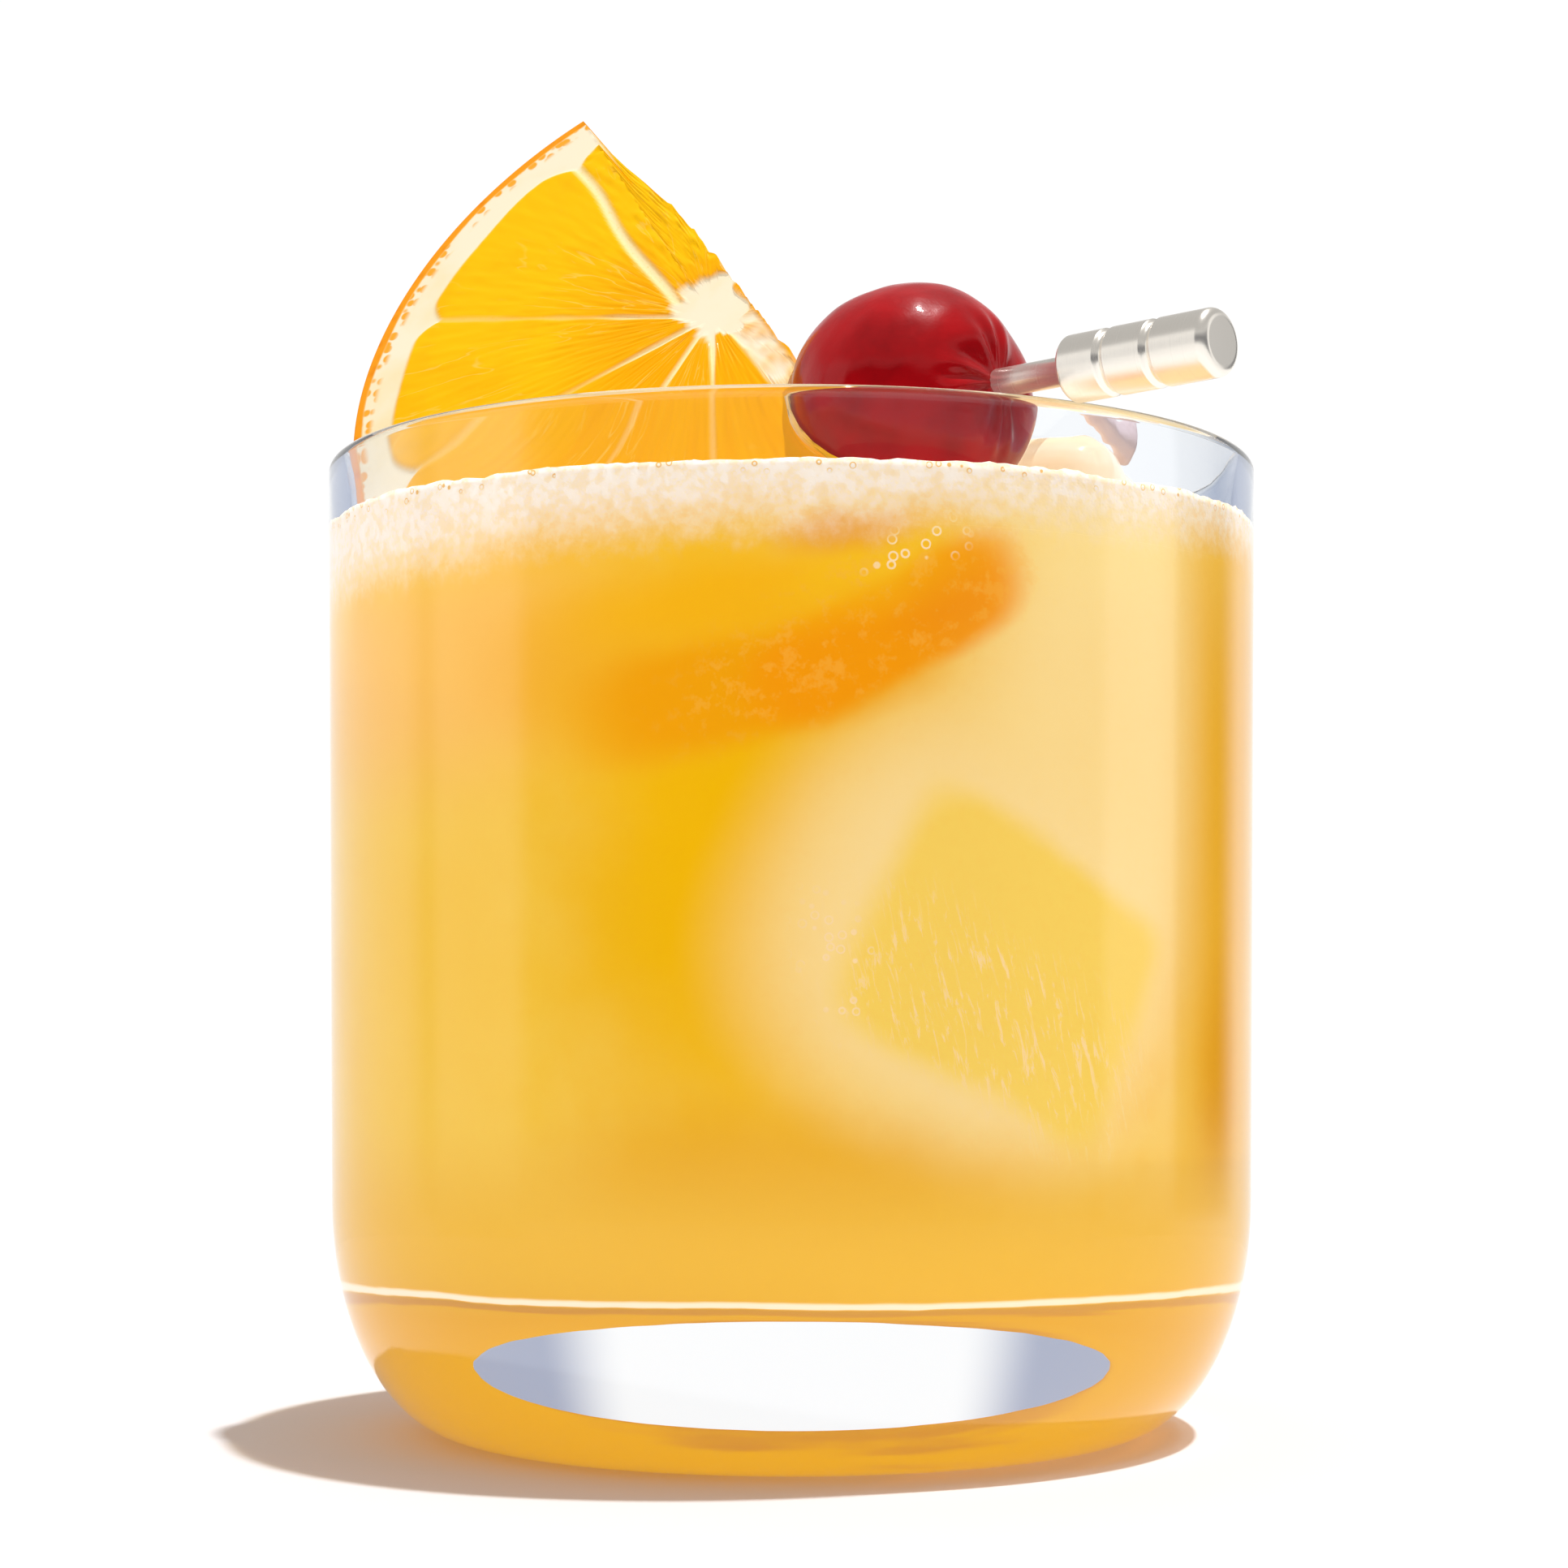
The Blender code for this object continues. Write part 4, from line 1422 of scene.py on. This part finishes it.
@dataclass
class OrangeHalfWheel:
    """The thick half wheel: juicy segments between membranes, pith, and a thin pored peel.

    Its own frame has X from the core towards the rind, Y along the cut and Z out of the shown face.
    """

    core: Vector = field(default_factory=lambda: Vector((-7.1, -15.2, 101.0)) * MM)
    along_cut: Vector = field(default_factory=lambda: Vector((0.40, -0.64, -0.655)))
    to_rind: Vector = field(default_factory=lambda: Vector((-0.83, 0.05, -0.55)))
    sphere: float = 37.15 * MM
    thickness: float = 12.0 * MM
    face_to_equator: float = 4.0 * MM
    past_core: float = 1.6 * MM
    rind: float = 5.6 * MM
    peel: float = 1.05 * MM
    membranes: tuple[float, ...] = (137.0, 99.0, 58.0, 24.0, -9.0)
    side_membrane: float = 2.1 * MM
    turns: int = 500

    def frame(self) -> Matrix:
        """The slice's own frame: +X towards the rind, +Y along the cut and +Z out of the shown face.

        Returns:
            The matrix from that frame to the model's.
        """
        along = self.along_cut.normalized()
        rind = (self.to_rind - self.to_rind.dot(along) * along).normalized()
        out = rind.cross(along)
        turn = Matrix((rind, along, out)).transposed().to_4x4()
        return Matrix.Translation(self.core) @ turn

    def cut_line(self, angles: np.ndarray) -> np.ndarray:
        """How far the uneven cut is from the core.

        Args:
            angles: The directions, from along the cut towards the rind, past half a turn.

        Returns:
            The distances.
        """
        along = np.linspace(-self.sphere, self.sphere, 900)
        swell = smoothstep(along, -34 * MM, -12 * MM) * (1 - smoothstep(along, 12 * MM, 30 * MM))
        torn = ripple(along[:, None], 3.2 * MM, 23) * 0.16 * MM + ripple(along[:, None], 1.1 * MM, 24) * 0.07 * MM
        past = self.past_core + swell * (1.9 * MM + torn)
        turn = np.arctan2(-past, along) + 2 * math.pi
        return np.interp(angles, turn, np.hypot(past, along))

    def reach(self, angles: np.ndarray, depth: float) -> tuple[np.ndarray, np.ndarray]:
        """How far the slice reaches from its core.

        Args:
            angles: The directions, from along the cut towards the rind.
            depth: How far behind the shown face it is.

        Returns:
            The reach, and the reach to the peel alone.
        """
        peel = np.full_like(angles, math.sqrt(self.sphere**2 - (depth - self.face_to_equator) ** 2))
        cut = np.where(np.sin(angles) < -0.03, self.cut_line(angles % (2 * math.pi)), 1.0)
        return np.minimum(peel, cut), peel

    def build(self, material: bpy.types.Material, cherry: CherryOnPick) -> bpy.types.Object:
        """The half wheel, dented where the cherry presses on it.

        Args:
            material: Its finish.
            cherry: The cherry.

        Returns:
            The piece.
        """
        corner = math.asin(self.past_core / self.sphere)
        arc_angles = np.linspace(-corner, math.pi + corner, int(self.turns * 0.68))
        cut_angles = np.linspace(math.pi + corner, 2 * math.pi - corner, self.turns - len(arc_angles) + 2)[1:-1]
        angles = np.concatenate([arc_angles, cut_angles])
        shares = np.concatenate([np.linspace(0.02, 0.82, 44), np.linspace(0.826, 0.997, 48)])
        edge = 0.2 * MM
        rows = [(share, 0.0, 1) for share in shares]
        rows += [(1.0, depth, 0) for depth in np.linspace(edge, self.thickness - edge, 14)]
        rows += [(share, self.thickness, -1) for share in shares[::-4]]
        parts, data = [], []
        for share, depth, side in rows:
            reach, peel = self.reach(angles, depth)
            radius = reach * share
            masks = self._masks(angles, radius, peel, side)
            proud = side * masks["rise"]
            parts.append(np.stack([radius * np.sin(angles), radius * np.cos(angles), proud - depth], axis=1))
            data.append(masks)
        points = np.concatenate([[[0, 0, 0.0]], *parts, [[0, 0, -self.thickness]]])
        count = len(angles)
        faces = [(0, 1 + i, 1 + (i + 1) % count) for i in range(count)]
        faces += [face[::-1] for face in ring_faces(len(rows), count, 1)]
        last = 1 + (len(rows) - 1) * count
        faces += [(last + (i + 1) % count, last + i, len(points) - 1) for i in range(count)]
        ends = {"membrane": 0, "pith": 1, "peel": 0, "glands": 0, "glow": 0}
        masks = {label: np.concatenate([[end], *[d[label] for d in data], [end]]) for label, end in ends.items()}
        polar = np.concatenate([[[0, 0]], *[np.stack([d["turn"], d["radius"]], axis=1) for d in data], [[0, 0]]])
        mesh = make_mesh("orange_slice", points, faces, masks)
        self._add_polar_map(mesh, polar)
        mesh.transform(self.frame())
        for vertex in mesh.vertices:
            away = vertex.co - cherry.centre
            if away.length < cherry.radius + 0.2 * MM:
                vertex.co = cherry.centre + away.normalized() * (cherry.radius + 0.2 * MM)
        return place_piece("orange_slice", mesh, material, Finish.ORANGE, "orange_half_wheel")

    def _add_polar_map(self, mesh: bpy.types.Mesh, polar: np.ndarray) -> None:
        """Adds the map that the juice sacs follow.

        Args:
            mesh: The slice's mesh.
            polar: The turn and radius of each point.
        """
        layer = mesh.uv_layers.new(name="polar")
        corners = np.empty(len(mesh.loops), dtype=np.int32)
        mesh.loops.foreach_get("vertex_index", corners)
        layer.data.foreach_set("uv", polar[corners].astype(np.float32).ravel())

    def _masks(self, angles: np.ndarray, radius: np.ndarray, peel: np.ndarray, side: int) -> dict[str, np.ndarray]:
        """What each point of a ring is made of.

        Args:
            angles: The points' directions.
            radius: Their distances from the core.
            peel: How far the peel is from the core in each direction.
            side: 1 on the shown face, -1 on the back and 0 on the rim.

        Returns:
            The masks, the flesh's rise and the polar map's values, by name.
        """
        degrees = np.degrees(angles)
        along, aside_cut = radius * np.cos(angles), radius * np.sin(angles)
        flat = np.stack([along, aside_cut], axis=1)
        wander = ripple(flat, 10 * MM, 21) * 0.3 * MM
        spacing = np.min([np.abs((degrees - m + 180) % 360 - 180) for m in self.membranes], axis=0)
        aside = np.radians(spacing) * radius + np.abs(wander) * 0.4
        bend = smoothstep(along, -14 * MM, -30 * MM) * 0.5 * MM
        by_cut = np.abs(aside_cut - self.side_membrane - wander * 0.7 + bend)
        fade = 0.76 * smoothstep(radius, 5 * MM, 14 * MM) * (aside < by_cut * 0.7)
        aside = np.where(along < -3 * MM, np.minimum(aside, by_cut * 0.7), aside)
        from_peel = peel - radius
        membrane = (1 - smoothstep(aside, 0.12 * MM, 0.5 * MM)) * (1 - fade)
        corner = 0.22 * np.maximum(0, 3.0 - aside / MM) ** 2 * MM
        wide = self.rind + wander
        pith = 1 - smoothstep(from_peel - corner, wide - 1.4 * MM, wide - 0.7 * MM)
        ragged = ripple(flat, 2.6 * MM, 22) * 0.14
        hub = np.hypot((along + 1.2 * MM) / (4.6 * MM), (aside_cut + 0.8 * MM) / (3.1 * MM)) + ragged
        hub -= np.maximum(0, 1.5 * MM - aside) / (6 * MM)
        pith = np.maximum(pith, 1 - smoothstep(hub, 0.86, 1.0))
        band = (1 - smoothstep(np.abs(aside_cut + 1.9 * MM), 1.1 * MM, 1.7 * MM)) * smoothstep(along, -5 * MM, 4 * MM)
        uneven = 0.72 + 0.28 * ripple(flat, 2.4 * MM, 29)
        pith = np.maximum(pith, band * np.clip(uneven, 0, 1) * (1 - smoothstep(along, 18 * MM, 24 * MM)))
        skin = 1 - smoothstep(from_peel + wander * 0.3, self.peel * 0.75, self.peel)
        glands = (1 - smoothstep(from_peel, 1.5 * MM, 2.3 * MM)) * (1 - skin)
        flesh = (1 - pith) * (1 - membrane)
        on_face = 1.0 if side else 0.0
        grain = ripple(np.stack([angles * 1.0, radius / MM * 0.012], axis=1), 0.05, 31)
        loose = smoothstep(-aside_cut, -1.6 * MM, -0.6 * MM) * smoothstep(-along, 5 * MM, 9 * MM)
        bits = ripple(flat, 2.0 * MM, 27) * 0.09 * MM * loose
        rise = on_face * flesh * (0.25 * MM + 0.025 * MM * grain + bits)
        if side == 0:
            on_peel = (np.abs(peel - radius) < 0.05 * MM).astype(float)
            skin = on_peel
            pith = (1 - on_peel) * pith
            glands = glands * 0
        # Painted light: the glow mask marks flesh in the upper segments and the loose bits, which the finish paints
        # brighter.
        glow = np.maximum(smoothstep(radius, 8 * MM, 18 * MM) * smoothstep(degrees, 60, 130), loose)
        return {
            "membrane": membrane * (1 - skin),
            "pith": pith * (1 - skin),
            "peel": skin,
            "glands": glands,
            "glow": glow,
            "rise": rise,
            "turn": angles,
            "radius": radius / (37 * MM),
        }


@dataclass
class Studio:
    """The pale floor, the soft light, the overhead key light and the camera."""

    camera_back: float = 287.1 * MM
    camera_height: float = 39.15 * MM
    pitch: float = 0.0718
    yaw: float = 0.0024
    lens_mm: float = 70.0
    floor_radius: float = 0.17
    floor_drop: float = 0.05 * MM
    shade: Colour = (0.05, 0.055, 0.07)
    front_dim: tuple[float, float, float, float] = (-1.9, -1.6, 2.2, 2.5)
    right_box: tuple[float, float, float, float] = (1.35, 1.45, 1.8, 1.9)
    left_box: tuple[float, float, float, float] = (-1.75, -1.6, -1.25, -1.1)
    upper: float = 0.4
    side_dim: tuple[float, float, float, float] = (1.2, 1.7, 2.78, 2.93)
    side_shade: Colour = (0.39, 0.44, 0.58)
    fill: float = 0.42
    key_strength: float = 2.45
    key_softness: float = 1.2
    key_tilt: tuple[float, float] = (-1.2, 7.0)

    def build(self) -> None:
        """Builds the studio."""
        self._floor()
        self._world()
        self._key()
        self._camera()
        bpy.context.scene.view_settings.view_transform = "Standard"

    def _floor(self) -> None:
        """The plain pale floor."""
        angles = np.linspace(0, 2 * math.pi, 96, endpoint=False)
        rim = np.stack([np.cos(angles), np.sin(angles), np.zeros(96)], axis=1) * self.floor_radius
        mesh = make_mesh("floor", rim - np.array([0, 0, self.floor_drop]), [tuple(range(96))])
        made, _, shader, _ = new_material("pale floor")
        shader.inputs["Base Color"].default_value = (0.92, 0.92, 0.92, 1.0)
        shader.inputs["Roughness"].default_value = 0.8
        floor = bpy.data.objects.new("floor", mesh)
        mesh.materials.append(made)
        bpy.context.scene.collection.objects.link(floor)

    def _world(self) -> None:
        """Soft white light from behind, above and the left, with a dim zone in front and to the right."""
        world = bpy.data.worlds.new("soft light")
        bpy.context.scene.world = world
        world.use_nodes = True
        graph = Graph(world.node_tree)
        background = world.node_tree.nodes["Background"]
        parts = graph.node("SeparateXYZ")
        graph.feed(parts.inputs[0], graph.node("TexCoord").outputs["Generated"])
        x, y, z = parts.outputs
        turn = graph.math("ARCTAN2", x, graph.math("MULTIPLY", y, -1.0))
        path = graph.node("LightPath").outputs
        low = graph.math("SUBTRACT", graph.step(z, -0.11, -0.03), graph.step(z, 0.25, 0.5))
        dim = graph.math("MULTIPLY", graph.band(turn, self.front_dim), low)
        mirrored = graph.mix(graph.step(z, 0.25, 0.6), (1.0, 1.0, 1.0), (self.upper,) * 3)
        mirrored = graph.mix(dim, mirrored, self.shade)
        boxes = graph.math("ADD", graph.band(turn, self.right_box), graph.band(turn, self.left_box))
        boxes = graph.math("MULTIPLY", boxes, graph.band(z, (-0.4, -0.2, 0.45, 0.6)))
        mirrored = graph.mix(boxes, mirrored, (0.9, 0.9, 0.9))
        sides = graph.band(graph.math("ABSOLUTE", turn), self.side_dim)
        ahead = graph.band(turn, (-1.25, -1.0, 1.0, 1.25))
        ahead = graph.math("MULTIPLY", ahead, graph.band(z, (-0.15, -0.05, 0.3, 0.45)))
        through = graph.mix(sides, (1.0, 1.0, 1.0), self.side_shade)
        through = graph.mix(ahead, through, (0.3, 0.3, 0.3))
        light = graph.mix(path["Is Transmission Ray"], mirrored, through)
        light = graph.mix(path["Is Diffuse Ray"], light, (self.fill,) * 3)
        graph.feed(background.inputs["Color"], graph.mix(path["Is Camera Ray"], light, (1.0, 1.0, 1.0)))
        background.inputs["Strength"].default_value = 1.03
        world.cycles.sampling_method = "NONE"
        paths = bpy.context.scene.cycles
        paths.max_bounces, paths.diffuse_bounces, paths.glossy_bounces, paths.transmission_bounces = 8, 2, 3, 8

    def _key(self) -> None:
        """The key light, nearly overhead and from the right."""
        light = bpy.data.lights.new("key light", "SUN")
        light.energy = self.key_strength
        light.angle = math.radians(self.key_softness)
        lamp = bpy.data.objects.new("key light", light)
        lamp.rotation_euler = (math.radians(self.key_tilt[0]), math.radians(self.key_tilt[1]), 0.0)
        bpy.context.scene.collection.objects.link(lamp)

    def _camera(self) -> None:
        """The camera, a little below the rim and looking slightly up."""
        data = bpy.data.cameras.new("camera")
        data.lens = self.lens_mm
        data.sensor_width = 36.0
        data.clip_start = 0.005
        camera = bpy.data.objects.new("camera", data)
        camera.location = (0.0, -self.camera_back, self.camera_height)
        camera.rotation_euler = (math.pi / 2 + self.pitch, 0.0, self.yaw)
        bpy.context.scene.collection.objects.link(camera)
        bpy.context.scene.camera = camera


def main() -> None:
    """Builds the drink round its CAD frame, and the studio."""
    logging.basicConfig(level=logging.INFO, format="%(message)s")
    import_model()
    effects = SharedEffects()
    tones = PourTones().tree(effects)
    tumbler = Tumbler()
    tumbler.build(ClearGlassFinish().build(effects))
    pour = Pour(tumbler)
    pour.build_drink(PourFinish("cloudy sour").build(tones))
    pour.build_foam(PourFinish("fine cream foam", passing=(0.55, 0.48, 0.36), bounced="F8DDB4").build(tones))
    IceCube().build(IceFinish().build(effects))
    cherry = CherryOnPick()
    OrangeHalfWheel().build(OrangeFinish().build(effects), cherry)
    cherry.build_cherry(CherryFinish().build(effects))
    cherry.build_stem(StemFinish().build(effects))
    cherry.build_pick(SteelFinish().build(effects))
    Studio().build()


if __name__ == "__main__":
    main()
